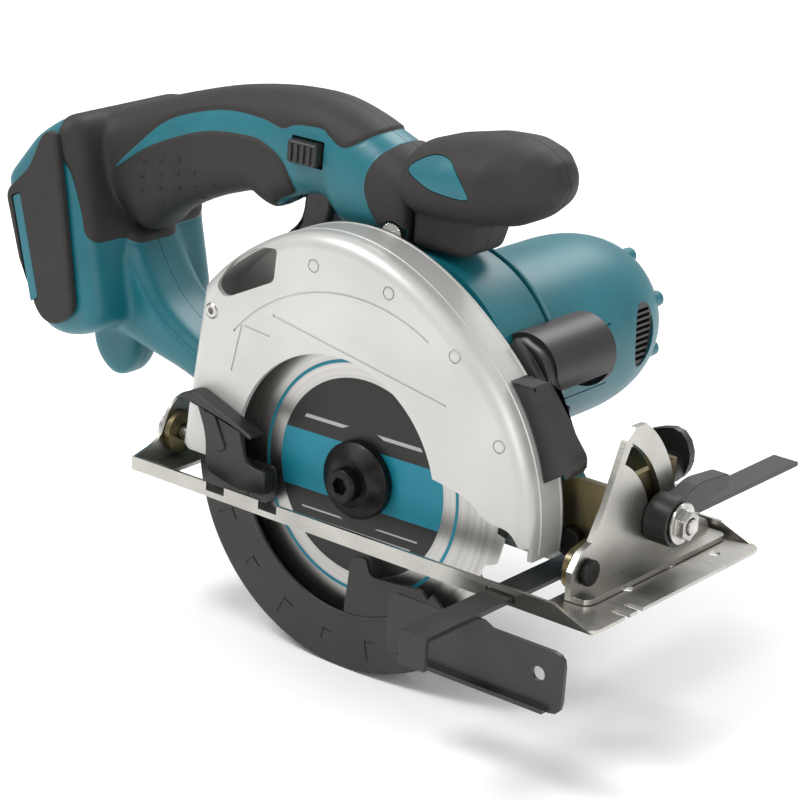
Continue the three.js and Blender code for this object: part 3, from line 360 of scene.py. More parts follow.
# ---------------------------------------------------------------- outlines
def rounded(corners, steps=8):
    """Closed outline through corners (u, v, radius); a corner is a parabola between points radius away."""
    corners = [tuple(c) + (0,) * (3 - len(c)) for c in corners]
    out = []
    t = np.linspace(0, 1, steps)[:, None]
    for i, (u, v, r) in enumerate(corners):
        p = np.array([u, v])
        back = np.array(corners[i - 1][:2]) - p
        ahead = np.array(corners[(i + 1) % len(corners)][:2]) - p
        if r == 0:
            out.append(p[None])
            continue
        a = p + back / np.linalg.norm(back) * min(r, 0.49 * np.linalg.norm(back))
        b = p + ahead / np.linalg.norm(ahead) * min(r, 0.49 * np.linalg.norm(ahead))
        out.append((1 - t) ** 2 * a + 2 * t * (1 - t) * p + t**2 * b)
    return np.concatenate(out)


def polar(radius, low, high, steps, centre=ARBOR):
    """Points at radius (a number or a function of degrees) about a centre, from low to high degrees."""
    angle = np.linspace(low, high, steps)
    r = radius(angle) if callable(radius) else np.full(steps, float(radius))
    a = np.radians(angle)
    return np.stack([centre[0] + r * np.cos(a), centre[1] + r * np.sin(a)], 1)


def spline(points, steps=8, closed=False):
    """Catmull-Rom curve through points: cubic pieces whose slope at a point is half the chord round it."""
    p = np.array(points, float)
    around = np.concatenate([p[-1:], p, p[:2]]) if closed else np.concatenate([p[:1], p, p[-1:]])
    spans = len(p) if closed else len(p) - 1
    t = np.linspace(0, 1, steps, endpoint=False)[:, None]
    out = []
    for i in range(spans):
        a, b, c, d = around[i : i + 4]
        out.append(0.5 * (2 * b + (c - a) * t + (2 * a - 5 * b + 4 * c - d) * t**2 + (3 * b - a - 3 * c + d) * t**3))
    if not closed:
        out.append(p[-1:])
    return np.concatenate(out)


def tidy(outline):
    """Outline without repeats, counterclockwise."""
    p = np.array(outline, float)
    keep = np.linalg.norm(p - np.roll(p, 1, 0), axis=1) > 1e-3
    p = p[keep]
    x, y = p.T
    area = np.sum(x * np.roll(y, -1) - np.roll(x, -1) * y)
    return p if area > 0 else p[::-1]


def inwards(p, distance):
    """Outline moved in by a distance along the mean of the two edge normals at each point."""
    before = p - np.roll(p, 1, 0)
    after = np.roll(p, -1, 0) - p
    before /= np.linalg.norm(before, axis=1)[:, None]
    after /= np.linalg.norm(after, axis=1)[:, None]
    normal = np.stack([-before[:, 1] - after[:, 1], before[:, 0] + after[:, 0]], 1)
    normal /= np.maximum(np.linalg.norm(normal, axis=1)[:, None], 1e-9)
    reach = np.maximum((normal * np.stack([-before[:, 1], before[:, 0]], 1)).sum(1), 0.5)
    return p + normal * (distance / reach)[:, None]


# ---------------------------------------------------------------- solids
def to_mesh(name, points, faces):
    """A mesh object from points in millimetres and a list of faces."""
    mesh = bpy.data.meshes.new(name)
    mesh.from_pydata(np.asarray(points) * MM, [], faces)
    mesh.validate()
    made = bpy.data.objects.new(name, mesh)
    bpy.context.scene.collection.objects.link(made)
    return made


def grid_faces(rows, columns):
    """Quads of a grid that closes on itself along its columns, rows stacked outwards-facing."""
    i, j = np.meshgrid(np.arange(rows - 1), np.arange(columns), indexing="ij")
    a = i * columns + j
    b = i * columns + (j + 1) % columns
    return np.stack([a, b, b + columns, a + columns], -1).reshape(-1, 4).tolist()


def capped(rows, columns):
    """Faces of a closed grid with both its ends shut."""
    last = (rows - 1) * columns
    return grid_faces(rows, columns) + [list(range(columns))[::-1], list(range(last, last + columns))]


def skinned(name, rings, axis):
    """Closed solid over rings [(height, outline)], lowest first, with its height along an axis."""
    count = len(rings[0][1])
    points = np.concatenate([np.column_stack([o, np.full(count, h)]) for h, o in rings])
    u, v, h = points.T
    placed = {"x": (h, u, v), "y": (u, -h, v), "z": (u, v, h)}[axis]
    return to_mesh(name, np.stack(placed, 1), capped(len(rings), count))


def slab(name, outline, low, high, axis="y", edge=0.0, edge_low=None, steps=5):
    """Plate with an outline across an axis, from low to high, with quarter-round edges.
    A ring at angle t of the round stands in by edge (1 - cos t) at height edge (1 - sin t) from its face."""
    outline = tidy(outline)
    if axis == "y":
        low, high = -high, -low
        edge, edge_low = (edge if edge_low is None else edge_low), edge
    edge_low = edge if edge_low is None else edge_low
    rings = []
    for size, face, side in ((edge_low, low, 1), (edge, high, -1)):
        turns = np.linspace(math.pi / 2, 0, steps if size > 0 else 1)
        some = [(face + side * size * (1 - math.sin(t)), inwards(outline, size * (1 - math.cos(t)))) for t in turns]
        if size == 0:
            some = [(face, outline)]
        rings += some
    rings.sort(key=lambda r: r[0])
    return skinned(name, rings, axis)


def turned(name, profile, centre, axis="y", facets=64):
    """Solid of revolution: profile (station, radius) pairs turned about an axis through centre."""
    a = np.linspace(0, 2 * math.pi, facets, endpoint=False)
    circle = np.stack([np.cos(a), np.sin(a)], 1)
    profile = sorted(profile, key=lambda p: -p[0]) if axis == "y" else profile
    rings = [(-s if axis == "y" else s, np.array(centre) + max(r, 0.02) * circle) for s, r in profile]
    return skinned(name, rings, axis)


def block(name, low, high, edge=0.0):
    """Box between two corners, its upright edges rounded."""
    corners = [(low[0], low[1]), (high[0], low[1]), (high[0], high[1]), (low[0], high[1])]
    outline = rounded([c + (edge,) for c in corners], 5) if edge else corners
    return slab(name, outline, low[2], high[2], "z", min(edge, (high[2] - low[2]) / 3))


def combine(base, others, operation="DIFFERENCE"):
    """Cuts from or joins to a solid, and throws the tools away."""
    for other in others:
        modifier = base.modifiers.new("cut", "BOOLEAN")
        modifier.operation = operation
        modifier.solver = "MANIFOLD"
        modifier.object = other
        apply_all(base)
        bpy.data.objects.remove(other)
    return base


def apply_all(piece):
    """Puts the result of a piece's modifiers into its mesh."""
    bpy.context.view_layer.update()
    evaluated = piece.evaluated_get(bpy.context.evaluated_depsgraph_get())
    mesh = bpy.data.meshes.new_from_object(evaluated)
    piece.modifiers.clear()
    piece.data = mesh


def fused(base, others, voxel, passes=6):
    """Solids run together as one moulding: a fine remesh, then smoothing that rounds where they meet."""
    for other in others:
        bm = bmesh.new()
        bm.from_mesh(base.data)
        bm.from_mesh(other.data)
        bm.to_mesh(base.data)
        bm.free()
        bpy.data.objects.remove(other)
    modifier = base.modifiers.new("skin", "REMESH")
    modifier.mode = "VOXEL"
    modifier.voxel_size = voxel * MM
    smooth = base.modifiers.new("soften", "SMOOTH")
    smooth.factor = 0.5
    smooth.iterations = passes
    apply_all(base)
    return base


def mesh_points(piece):
    """The piece's points in millimetres."""
    flat = np.empty(len(piece.data.vertices) * 3)
    piece.data.vertices.foreach_get("co", flat)
    return flat.reshape(-1, 3) / MM


def detail(piece, node, material, bevel=0.0, angle=35, shade=True):
    """A piece that belongs with a CAD node: its material, rounded edges and body."""
    piece.data.materials.clear()
    piece.data.materials.append(material)
    piece.data.polygons.foreach_set("use_smooth", np.ones(len(piece.data.polygons), bool))
    piece.data.set_sharp_from_angle(angle=math.radians(angle))
    if bevel:
        made = piece.modifiers.new("edge", "BEVEL")
        made.width = bevel * MM
        made.segments = 2
        made.limit_method = "ANGLE"
        made.angle_limit = math.radians(angle)
        made.harden_normals = True
    if shade:
        piece.modifiers.new("shade", "WEIGHTED_NORMAL").keep_sharp = True
    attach(piece, BODY_OF[node])
    return piece


def finish_piece(piece, node, material=None, bevel=0.0, angle=35):
    """A piece that stands for its CAD node, in the finish of the node's slot unless it is given another."""
    detail(piece, node, material or FINISH[SLOT_OF[node]], bevel, angle, bevel > 0 or angle < 60)
    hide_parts(node)
    return piece


def twin(piece, name):
    """A second piece with its own copy of the mesh."""
    made = piece.copy()
    made.data = piece.data.copy()
    made.name = name
    bpy.context.scene.collection.objects.link(made)
    return made


def refined(node, bevel=0.3, material=None, cuts=(), joins=()):
    """The CAD node's own shape with its points merged and its edges rounded, after any finer cuts or joins."""
    piece = bpy.data.objects.new(node + "_finished", frame["nodes"][node].data.copy())
    bpy.context.scene.collection.objects.link(piece)
    bm = bmesh.new()
    bm.from_mesh(piece.data)
    bmesh.ops.remove_doubles(bm, verts=bm.verts, dist=2e-6)
    bmesh.ops.dissolve_limit(bm, angle_limit=math.radians(1), verts=bm.verts, edges=bm.edges)
    bm.to_mesh(piece.data)
    bm.free()
    combine(piece, cuts)
    combine(piece, joins, "UNION")
    return finish_piece(piece, node, material, bevel)


def rod(name, axis, centre, radius, low, high, facets=48, end=None):
    """Plain round bar along an axis."""
    return turned(name, [(low, radius), (high, end or radius)], centre, axis, facets)


# ---------------------------------------------------------------- blade case
def case_radius(angle):
    """Rim radius against angle: constant in front, a smooth rise to the dust pocket, then a straight drop."""
    s = np.clip((angle - 50) / 60, 0, 1)
    grown = 83 + 12 * s * s * (3 - 2 * s)
    t = np.radians(np.maximum(angle - 141, 0))
    corner = np.maximum(95 / (np.cos(t) + 0.62 * np.sin(t)), 81)
    return np.where(angle > 141, corner, grown)


def case_outline(inset=0.0, floor=11.0, steps=150):
    rim = polar(lambda a: case_radius(a) - inset, -4, 184, steps)
    return np.concatenate([rim, [[-81 + inset, floor], [83 - inset, floor]]])


def blade_case():
    near, far = st(-10), st(12.3)
    turns = np.radians(np.linspace(0, 90, 10))
    shoulder = [(-near - SHOULDER * (1 - math.sin(t)), case_outline(SHOULDER * (1 - math.cos(t)))) for t in turns]
    body = skinned("blade_case_casting", [(-far, case_outline())] + shoulder, "y")
    hollow = slab("hollow", case_outline(2.2, 0), near + 2.2, far - 2)
    window = rod("window", "y", (-5.5, 19), 47.3, near - 2, st(-6), 120)
    mouth = slab("mouth", rounded([(-90, -12), (-52, 20, 6), (-46, 40), (40, 32, 6), (57, 29, 10), (64, 22.6, 6),
                                   (76, 22, 4), (81.2, 14), (81.2, -12)]), near - 2, st(-6))
    floor = slab("floor", [(-78, -2), (80.8, -2), (80.8, 19), (-78, 19)], st(-6.5), far - 2)
    boss = rod("boss", "y", ARBOR, 25, st(8), far + 1)
    pocket_shape = rounded([(-66.5, 79.5, 3), (-62, 75.5, 4), (-38.5, 87.5, 2), (-37.5, 100.3, 2), (-47, 98.8, 4),
                            (-60, 90.5, 4)])
    pocket = slab("pocket", pocket_shape, near - 1, near + 4.5)
    groove_arc = slab("groove", np.concatenate([polar(73.2, 62, 141, 60), polar(72.4, 141, 62, 60)]), near - 1,
                      near + 0.45)
    groove_line = slab("line", [(-38, 75.2), (44, 61.2), (44, 60.4), (-38, 74.2)], near - 1, near + 0.45)
    arrow = [(-53, 67.8), (-39, 66.6), (-39, 65.8), (-52, 66.9), (-56.4, 48), (-57.3, 48.2)]
    groove_arrow = slab("arrow", arrow, near - 1, near + 0.4)
    seats = [rod("seat", "y", c, 2.6, near - 1, near + 0.5, 32) for c in CASE_DIMPLES]
    hole = rod("hole", "y", CASE_SCREW, 3.1, near - 1, near + 1.6, 32)
    combine(body, [hollow, window, mouth, floor, boss, pocket, groove_arc, groove_line, groove_arrow, hole] + seats)
    combine(body, [turned_rim("bead", st(-1), 0.8), turned_rim("rim", st(11.4), 0.8)], "UNION")
    combine(body, [block("toe", (72, near - 1, 0), (84, near + 4.5, 16.5))])
    finish_piece(body, "blade_case", SILVER, 0.35)
    for i, (x, z) in enumerate(CASE_DIMPLES):
        head = turned("case_rivet_%d" % (i + 1), [(near + 0.6, 2.3), (near - 0.1, 2.1), (near - 0.5, 1.2)], (x, z))
        detail(head, "blade_case", SILVER)
    screw = socket_screw("case_screw", CASE_SCREW, 2.9, near + 1.5, near - 0.4)
    detail(screw, "blade_case", BRIGHT)


def turned_rim(name, station, radius):
    """Bead round the rim: a small circle carried along the case outline."""
    path = case_outline(0, 11, 150)[:-2]
    step = np.gradient(path, axis=0)
    step /= np.linalg.norm(step, axis=1)[:, None]
    out = np.stack([step[:, 1], -step[:, 0]], 1)
    a = np.linspace(0, 2 * math.pi, 12, endpoint=False)
    points = []
    for p, n in zip(path, out):
        points.append(np.stack([p[0] + n[0] * (radius * np.cos(a) - 0.45), station + radius * np.sin(a),
                                p[1] + n[1] * (radius * np.cos(a) - 0.45)], 1))
    made = to_mesh(name, np.concatenate(points), capped(len(path), 12))
    recalc(made)
    return made


def recalc(piece):
    """Points every face of a closed shape outwards."""
    bm = bmesh.new()
    bm.from_mesh(piece.data)
    bmesh.ops.recalc_face_normals(bm, faces=bm.faces)
    bm.to_mesh(piece.data)
    bm.free()


def socket_screw(name, centre, radius, seat, top, axis="y"):
    """Cap screw head with a hexagon socket, from its seat to its top along the axis."""
    low, high = min(seat, top), max(seat, top)
    out = 1 if top > seat else -1
    profile = [(seat, radius), (top - out * radius * 0.16, radius), (top, radius * 0.84)]
    head = turned(name, sorted(profile), centre, axis, 40)
    socket = turned("socket", [(min(top + out, top - out * radius * 0.5), radius * 0.5),
                               (max(top + out, top - out * radius * 0.5), radius * 0.5)], centre, axis, 6)
    return combine(head, [socket])


SHOULDER = 6.0
CASE_DIMPLES = [(-20, 98), (15, 96), (46, 80), (68, 52)]


# ---------------------------------------------------------------- blade
def saw_blade():
    """Plate with 16 hooked teeth, four expansion slots and a round bore."""
    teeth = 16
    pitch = 360 / teeth
    turn = np.array([0.0, 0.5, 1.0, 2.2, 4.0, 5.6, 7.2, 8.6, 9.4, 13.0, 17.0, 20.5, pitch - 1.0])
    rise = np.array([68.0, 65.4, 63.0, 61.2, 60.4, 60.8, 62.4, 64.8, 65.6, 66.0, 66.4, 66.8, 67.6])
    angle = (np.arange(teeth)[:, None] * pitch + turn).ravel()
    radius = np.tile(rise, teeth)
    a = np.radians(angle)
    outline = np.stack([ARBOR[0] + radius * np.cos(a), ARBOR[1] + radius * np.sin(a)], 1)
    plate = slab("blade_plate", outline, st(0.1), st(1.1))
    slots = []
    for k in range(4):
        start = k * 90 + 8.0
        wave = np.linspace(0, 1, 12)
        r = 61.5 - 13 * wave
        mid = np.radians(start + 9 * wave)
        line = np.stack([ARBOR[0] + r * np.cos(mid), ARBOR[1] + r * np.sin(mid)], 1)
        side = np.stack([-np.sin(mid), np.cos(mid)], 1) * 0.45
        slots.append(slab("slot", np.concatenate([line + side, (line - side)[::-1]]), st(-2), st(3)))
        slots.append(rod("eye", "y", line[-1], 2.0, st(-2), st(3), 24))
    combine(plate, slots + [rod("bore", "y", ARBOR, 10.3, st(-2), st(3), 48)])
    finish_piece(plate, "saw_blade", LABELLED, angle=20)
    for k in range(teeth):
        a = math.radians(k * pitch)
        back = math.radians(k * pitch - 3.4)
        tip = [(ARBOR[0] + r * math.cos(t), ARBOR[1] + r * math.sin(t)) for r, t in
               ((68, a), (67.3, back), (63.6, back + 0.012), (63.8, a + 0.006))]
        detail(slab("carbide_tip_%02d" % (k + 1), tip, st(-0.2), st(1.4)), "saw_blade", OXIDE, 0.08)


def blade_fixings():
    profile = [(st(-8), 9), (st(-7.4), 10), (st(-4.6), 14.2), (st(-3.6), 15), (st(-0.3), 15)]
    finish_piece(turned("outer_flange_turned", profile, ARBOR, facets=96), "outer_flange", OXIDE, 0.25)
    bolt = turned("blade_bolt_turned", [(st(-12.6), 5.9), (st(-12.1), 6.6), (st(-8.3), 6.6), (st(-8.25), 3.7),
                                        (st(13), 3.7)], ARBOR, facets=64)
    recess = turned("hexagon", [(st(-14), 3.5), (st(-9), 3.5)], ARBOR, facets=6)
    finish_piece(combine(bolt, [recess]), "blade_bolt", OXIDE, 0.25)
    washer = turned("blade_bolt_washer", [(st(-8.28), 8.6), (st(-8.02), 8.6)], ARBOR, facets=64)
    detail(washer, "blade_bolt", OXIDE)


# ---------------------------------------------------------------- lower guard
def sector(inner, outer, low, high, steps=70):
    return np.concatenate([polar(outer, low, high, steps), polar(inner, high, low, steps)])


def lower_guard():
    near, far = st(-6.8), st(7.8)
    shell = slab("lower_guard_pressing", sector(52.5, 74, 176, 322), near, near + 1.5)
    hook = rounded([(1, -33), (14, -54, 3), (46, -33, 3), (38, -14, 4), (12, -16, 3), (10, -9, 3), (3, -11, 3)])
    ear = rounded([(-58, 14), (-36, 13.5, 2), (-35, 2, 3), (-52, -12)])
    joined = [
        slab("hook", hook, near, near + 1.5),
        slab("ear", ear, near, near + 1.5),
        slab("rim", sector(72.4, 74, 176, 322), near, far),
        slab("wall", sector(19.3, 74, 176, 322), far - 1.5, far),
        slab("hub", sector(19.3, 22.3, 0, 359.9, 90), far - 1.5, far + 0.7),
        slab("bead", sector(51.6, 53.4, 178, 300), near - 0.5, near + 0.4, edge=0.4),
    ]
    combine(shell, joined, "UNION")
    marks = []
    for k, angle in enumerate(np.linspace(205, 300, 6)):
        marks.append(slab("mark", sector(62, 69 - (k % 2) * 2.5, angle, angle + 0.7, 4), near - 1, near + 0.3))
        marks.append(slab("mark", sector(61.2, 62, angle, angle + 4.5, 8), near - 1, near + 0.3))
    combine(shell, marks)
    finish_piece(shell, "lower_guard", ENAMEL, 0.3)


def guard_lever():
    web = rounded([(-72, 33, 3), (-68, 36), (-50, 29), (-46, 14, 4), (-36, 13, 2), (-36, 3.5, 2), (-50, 2.4, 3),
                   (-66, 6, 4), (-66, 20, 6)])
    pad = rounded([(-76, 35.5, 2), (-69, 38.8, 3), (-39, 28.2, 1), (-39.5, 26.6, 1), (-52, 30.4, 3), (-72, 34, 3)])
    lever = slab("guard_lever_moulding", web, st(-12.6), st(-10.4), edge=0.6)
    rib = slab("rib", rounded([(-68, 30, 2), (-62, 31, 2), (-55, 17, 3), (-60, 15, 2)]), st(-13.4), st(-12), edge=0.6)
    stub = block("stub", (-42, st(-11), 4), (-36.4, st(-7.1), 12))
    combine(lever, [slab("pad", pad, st(-18), st(-10.4), edge=0.7), rib, stub], "UNION")
    finish_piece(lever, "guard_lever", BLACK, 0.25)


# ---------------------------------------------------------------- deflector and lamp
def front_deflector():
    """Wedge that leans on the rim: a rounded outline with the rim's own arc as its inner side."""
    nose = rounded([(90, 41.5, 3), (92.5, 48.5, 4), (86, 56, 6), (78, 67.5, 5), (72.5, 74, 2)], 8)
    leaf = np.concatenate([nose, polar(lambda a: case_radius(a) + 0.6, 41, 14.5, 40)])
    body = slab("front_deflector_moulding", leaf, st(1), st(13), edge=2.2, edge_low=0.6)
    wing = np.concatenate([polar(86, 20, 50, 40), polar(60, 50, 20, 40)])
    combine(body, [slab("wing", wing, st(12.7), st(16), edge=0.8)], "UNION")
    finish_piece(body, "front_deflector", BLACK, 0.4)


def lamp_housing():
    c = (55, 70)
    body = rod("lamp_housing_moulding", "y", c, 14, st(22), st(60), 96)
    strap = np.concatenate([polar(85.5, 24, 49, 30), polar(73, 49, 24, 30)])
    combine(body, [block("foot", (44, st(17), 58), (62, st(60), 78), 1.5),
                   slab("strap", strap, st(16.4), st(19.6), edge=0.8),
                   slab("near_end", rounded([(52, 84, 5), (66, 79, 6), (70, 66, 6), (60, 57, 3), (48, 60, 3)]),
                        st(17), st(23), edge=0.8)], "UNION")
    cuts = [
        block("cavity", (46.5, st(24.5), 40), (90, st(57.5), 64)),
        block("clear", (40, st(10), 50), (64, st(32.3), 61)),
        rod("gear_room", "y", MOTOR, GEAR_ROOM, st(0), st(46), 96),
        turned("cone_room", [(st(44), GEAR_ROOM), (st(62), 38.3)], MOTOR, facets=96),
    ]
    combine(body, cuts)
    finish_piece(body, "lamp_housing", BLACK, 0.6)


# ---------------------------------------------------------------- handle
TOP_LINE = [(-152, 125), (-146, 127), (-139, 130), (-113, 139), (-93, 145), (-73, 149), (-58, 150.6), (-44, 150.5),
            (-29, 147.5), (-15, 142), (0, 136)]
UNDER_LINE = [(-152, 98), (-139, 86), (-130, 80), (-121, 88), (-110, 95), (-100, 100), (-90, 104), (-78, 107.5),
              (-71, 104.5), (-64, 103.5), (-58, 108), (-48, 112), (-40, 112), (-34, 106), (-28, 103), (0, 103)]


def ovals(name, x, top, under, width, power, around):
    """Ovals carried along X between a top and an under line, width to each side of the seam; a point of an
    oval is width |cos|^power across and half the height |sin|^power up."""
    a = np.linspace(0, 2 * math.pi, around, endpoint=False)
    c, s = np.sign(np.cos(a)) * np.abs(np.cos(a)) ** power, np.sign(np.sin(a)) * np.abs(np.sin(a)) ** power
    y = SEAM + width[:, None] * c
    z = ((top + under) / 2)[:, None] + ((top - under) / 2)[:, None] * s
    made = to_mesh(name, np.stack([np.repeat(x, around), y.ravel(), z.ravel()], 1), capped(len(x), around))
    recalc(made)
    return made


def grip_tube():
    """Grip as ovals: height from the top and under lines, half width by x."""
    x = np.linspace(-152, 1.5, 90)
    top = np.interp(x, *spline(TOP_LINE, 6).T)
    under = np.interp(x, *spline(UNDER_LINE, 6).T)
    width = np.interp(x, [-152, -140, -110, -60, -30, 2], [24, 20, 16.5, 17, 17, 17.5])
    return ovals("grip", x, top, under, width, 0.8, 72)


FOOT = [(-186, 96, 5), (-170, 116, 4), (-156, 126, 8), (-146, 126, 10), (-140, 95, 20), (-129, 44, 8), (-148, 35, 10),
        (-164, 37, 10)]
ARM = [(-150, 90), (-134, 80, 12), (-127, 66, 14), (-113, 50, 16), (-80, 36, 16), (-46, 31), (-46, 8.5, 4),
       (-70, 10, 10), (-96, 26, 16), (-129, 33, 16), (-150, 38)]
LUG = [(-162, 45), (-160, 22, 10), (-146, 12, 12), (-136, 22, 8), (-134, 45)]
TEAL_UPPER = [(-139, 106), (-129, 117.5), (-116, 129.5), (-98, 136.5), (-83, 139.5), (-68, 139.5), (-58, 138),
              (-52, 140.5), (-40, 141.5), (-36, 139.5), (-28, 136.5), (-16, 144.5), (-3, 151), (-6, 146), (-15, 134),
              (-17, 124), (-14, 116), (-9, 106), (-9, 90), (-70, 90), (-64, 106), (-54, 113), (-54, 121),
              (-58, 127), (-66, 131), (-75, 132), (-97, 129), (-123, 118)]
TEAL_LOWER = [(-200, 130), (-160, 130), (-153, 113), (-147, 105), (-142, 90), (-139, 80), (-130, 74.5), (-124, 76),
              (-110, 70), (-40, 60), (-40, 0), (-200, 0)]


def distance_to(outline, points):
    """Signed distance from points to a closed outline, positive inside."""
    a = outline[None]
    b = np.roll(outline, -1, 0)[None]
    p = points[:, None]
    along = np.clip(((p - a) * (b - a)).sum(-1) / np.maximum(((b - a) ** 2).sum(-1), 1e-9), 0, 1)
    gap = np.linalg.norm(p - (a + along[..., None] * (b - a)), axis=-1).min(1)
    crosses = ((a[..., 1] > p[..., 1]) != (b[..., 1] > p[..., 1])) & (
        p[..., 0] < (b[..., 0] - a[..., 0]) * (p[..., 1] - a[..., 1]) / (b[..., 1] - a[..., 1] + 1e-12) + a[..., 0])
    inside = crosses.sum(1) % 2 == 1
    return np.where(inside, gap, -gap)


def handle():
    """Grip, foot, arm and lug run together, parted at the seam; the soft areas stand a little proud."""
    body = grip_tube()
    parts = [
        slab("foot", rounded(FOOT, 10), SEAM - 37, SEAM + 37, edge=9),
        slab("arm", rounded(ARM, 10), SEAM - 17, SEAM + 17, edge=8),
        slab("lug", rounded(LUG, 10), SEAM - 9, SEAM + 9, edge=5),
    ]
    fused(body, parts, 0.9, 26)
    points = mesh_points(body)
    flat = points[:, [0, 2]]
    edge = -np.maximum(distance_to(spline(TEAL_UPPER, 4, True), flat), distance_to(spline(TEAL_LOWER, 4, True), flat))
    normals = np.empty(len(points) * 3)
    body.data.vertices.foreach_get("normal", normals)
    proud = 0.45 * np.clip(edge / 0.8, -1, 1) - 0.5 * np.exp(-((edge / 0.7) ** 2))
    moved = points + normals.reshape(-1, 3) * proud[:, None]
    body.data.vertices.foreach_set("co", (moved * MM).ravel())
    attribute = body.data.attributes.new("soft_edge", "FLOAT", "POINT")
    attribute.data.foreach_set("value", edge.astype(np.float32))
    cuts = [
        block("battery_room", (-200, SEAM - 30, 50), (-169.6, SEAM + 30, 100), 3),
        block("battery_rail", (-200, SEAM - 33, 62), (-174, SEAM + 33, 70), 1),
        block("trigger_mouth", (-66, SEAM - 7.4, 84), (-34, SEAM + 7.4, 123)),
        block("button_well", (-52.8, SEAM - 22, 126.2), (-37.2, SEAM - 10, 136.8), 0.8),
        rod("gear_room", "y", MOTOR, GEAR_ROOM, st(-20), st(80), 128),
        block("front_room", (-48.5, st(-10), -10), (60, st(70), 60)),
        rod("screw_room", "y", KNURLED_SCREW, 5.6, st(10), st(16.8), 32),
    ]
    combine(body, cuts)
    body.name = "handle_shell_near"
    other = twin(body, "handle_shell_far")
    combine(body, [block("far_half", (-230, SEAM - PARTING, -30), (60, 80, 200))])
    combine(other, [block("near_half", (-230, -120, -30), (60, SEAM + PARTING, 200))])
    finish_piece(body, "handle_shell_right", TWO_SHOT, angle=50)
    finish_piece(other, "handle_shell_left", TWO_SHOT, angle=50)
    grip_dots(body, "handle_shell_right", -1)
    grip_dots(other, "handle_shell_left", 1)


DOTS = [(-124.4 - 0.6 * row + 8.05 * k, 112 - 5.9 * row + 1.9 * k)
        for row, (first, last) in enumerate(((0, 3), (0, 4), (0, 5), (1, 5))) for k in range(first, last)]


def grip_dots(shell, node, side):
    """Raised dots on the grip's side: each a low dome whose axis is the skin's own normal where it stands."""
    tree = BVHTree.FromPolygons([v.co.copy() for v in shell.data.vertices],
                                [tuple(p.vertices) for p in shell.data.polygons])
    around = np.linspace(0, 2 * math.pi, 12, endpoint=False)
    points, faces = [], []
    for x, z in DOTS:
        hit, normal, _, _ = tree.ray_cast(Vector((x, SEAM + side * 60, z)) * MM, Vector((0, -side, 0)))
        if hit is None:
            continue
        turn = np.array(normal.to_track_quat("Z", "Y").to_matrix())
        start = len(points) * 48
        ring = [np.stack([r * np.cos(around), r * np.sin(around), np.full(12, h)], 1)
                for r, h in ((1.35, -0.6), (1.25, 0.05), (0.9, 0.42), (0.35, 0.6))]
        points.append(np.concatenate(ring) @ turn.T + np.array(hit) / MM)
        faces += [[start + i for i in f] for f in capped(4, 12)]
    dots = to_mesh("grip_dots_%s" % ("far" if side > 0 else "near"), np.concatenate(points), faces)
    detail(dots, node, RUBBER, angle=60)


def front_grip():
    """Knob as ovals carried along X; middle, half height and half width follow the knob's side and top views."""
    x = 26 + 36.5 * np.sin(np.linspace(-math.pi / 2, math.pi / 2, 70))
    top = np.interp(x, *np.array([(-10.5, 134), (-6, 140), (0, 143.5), (12, 148), (29, 152), (43, 153), (52, 151),
                                  (59, 147), (62.5, 139)]).T)
    under = np.interp(x, *np.array([(-10.5, 130), (-4, 121), (2, 117), (15, 117), (30, 118), (44, 120.5), (53, 125),
                                    (60, 131), (62.5, 137)]).T)
    width = np.interp(x, [-10.5, -8, -2, 8, 20, 38, 52, 60, 62.5], [3, 12, 19, 23, 25, 24.5, 18, 9, 2])
    knob = ovals("knob", x, top, under, width, 0.92, 80)
    neck_shape = rounded([(3, 140, 6), (36, 135, 6), (29, 112, 5), (27, 105.5, 3), (3, 105.5, 2)])
    fused(knob, [slab("neck", neck_shape, SEAM - 14, SEAM + 14, edge=4)], 0.8, 14)
    insert = twin(knob, "knob_insert")
    almond = tidy(spline(ALMOND, 8, True))
    combine(insert, [slab("almond", inwards(almond, 0.35), -60, SEAM - 17)], "INTERSECT")
    finish_piece(insert, "grip_insert", TEAL, angle=60)
    cuts = [
        block("handle_room", (-30, st(-20), 90), (2.5, st(80), 170)),
        rod("gear_room", "y", MOTOR, GEAR_ROOM, st(-20), st(80), 128),
        slab("almond", almond, -60, SEAM - 16.6),
    ]
    combine(knob, cuts)
    knob.name = "front_grip_near"
    other = twin(knob, "front_grip_far")
    combine(knob, [block("far_half", (-60, SEAM - PARTING, 80), (90, 80, 200))])
    combine(other, [block("near_half", (-60, -120, 80), (90, SEAM + PARTING, 200))])
    finish_piece(knob, "front_grip_right", RUBBER, angle=50)
    finish_piece(other, "front_grip_left", RUBBER, angle=50)


ALMOND = [(5.4, 137.4), (14.8, 143.7), (25.9, 143.2), (35.4, 132.3), (21.7, 131.7), (11.2, 134.2)]


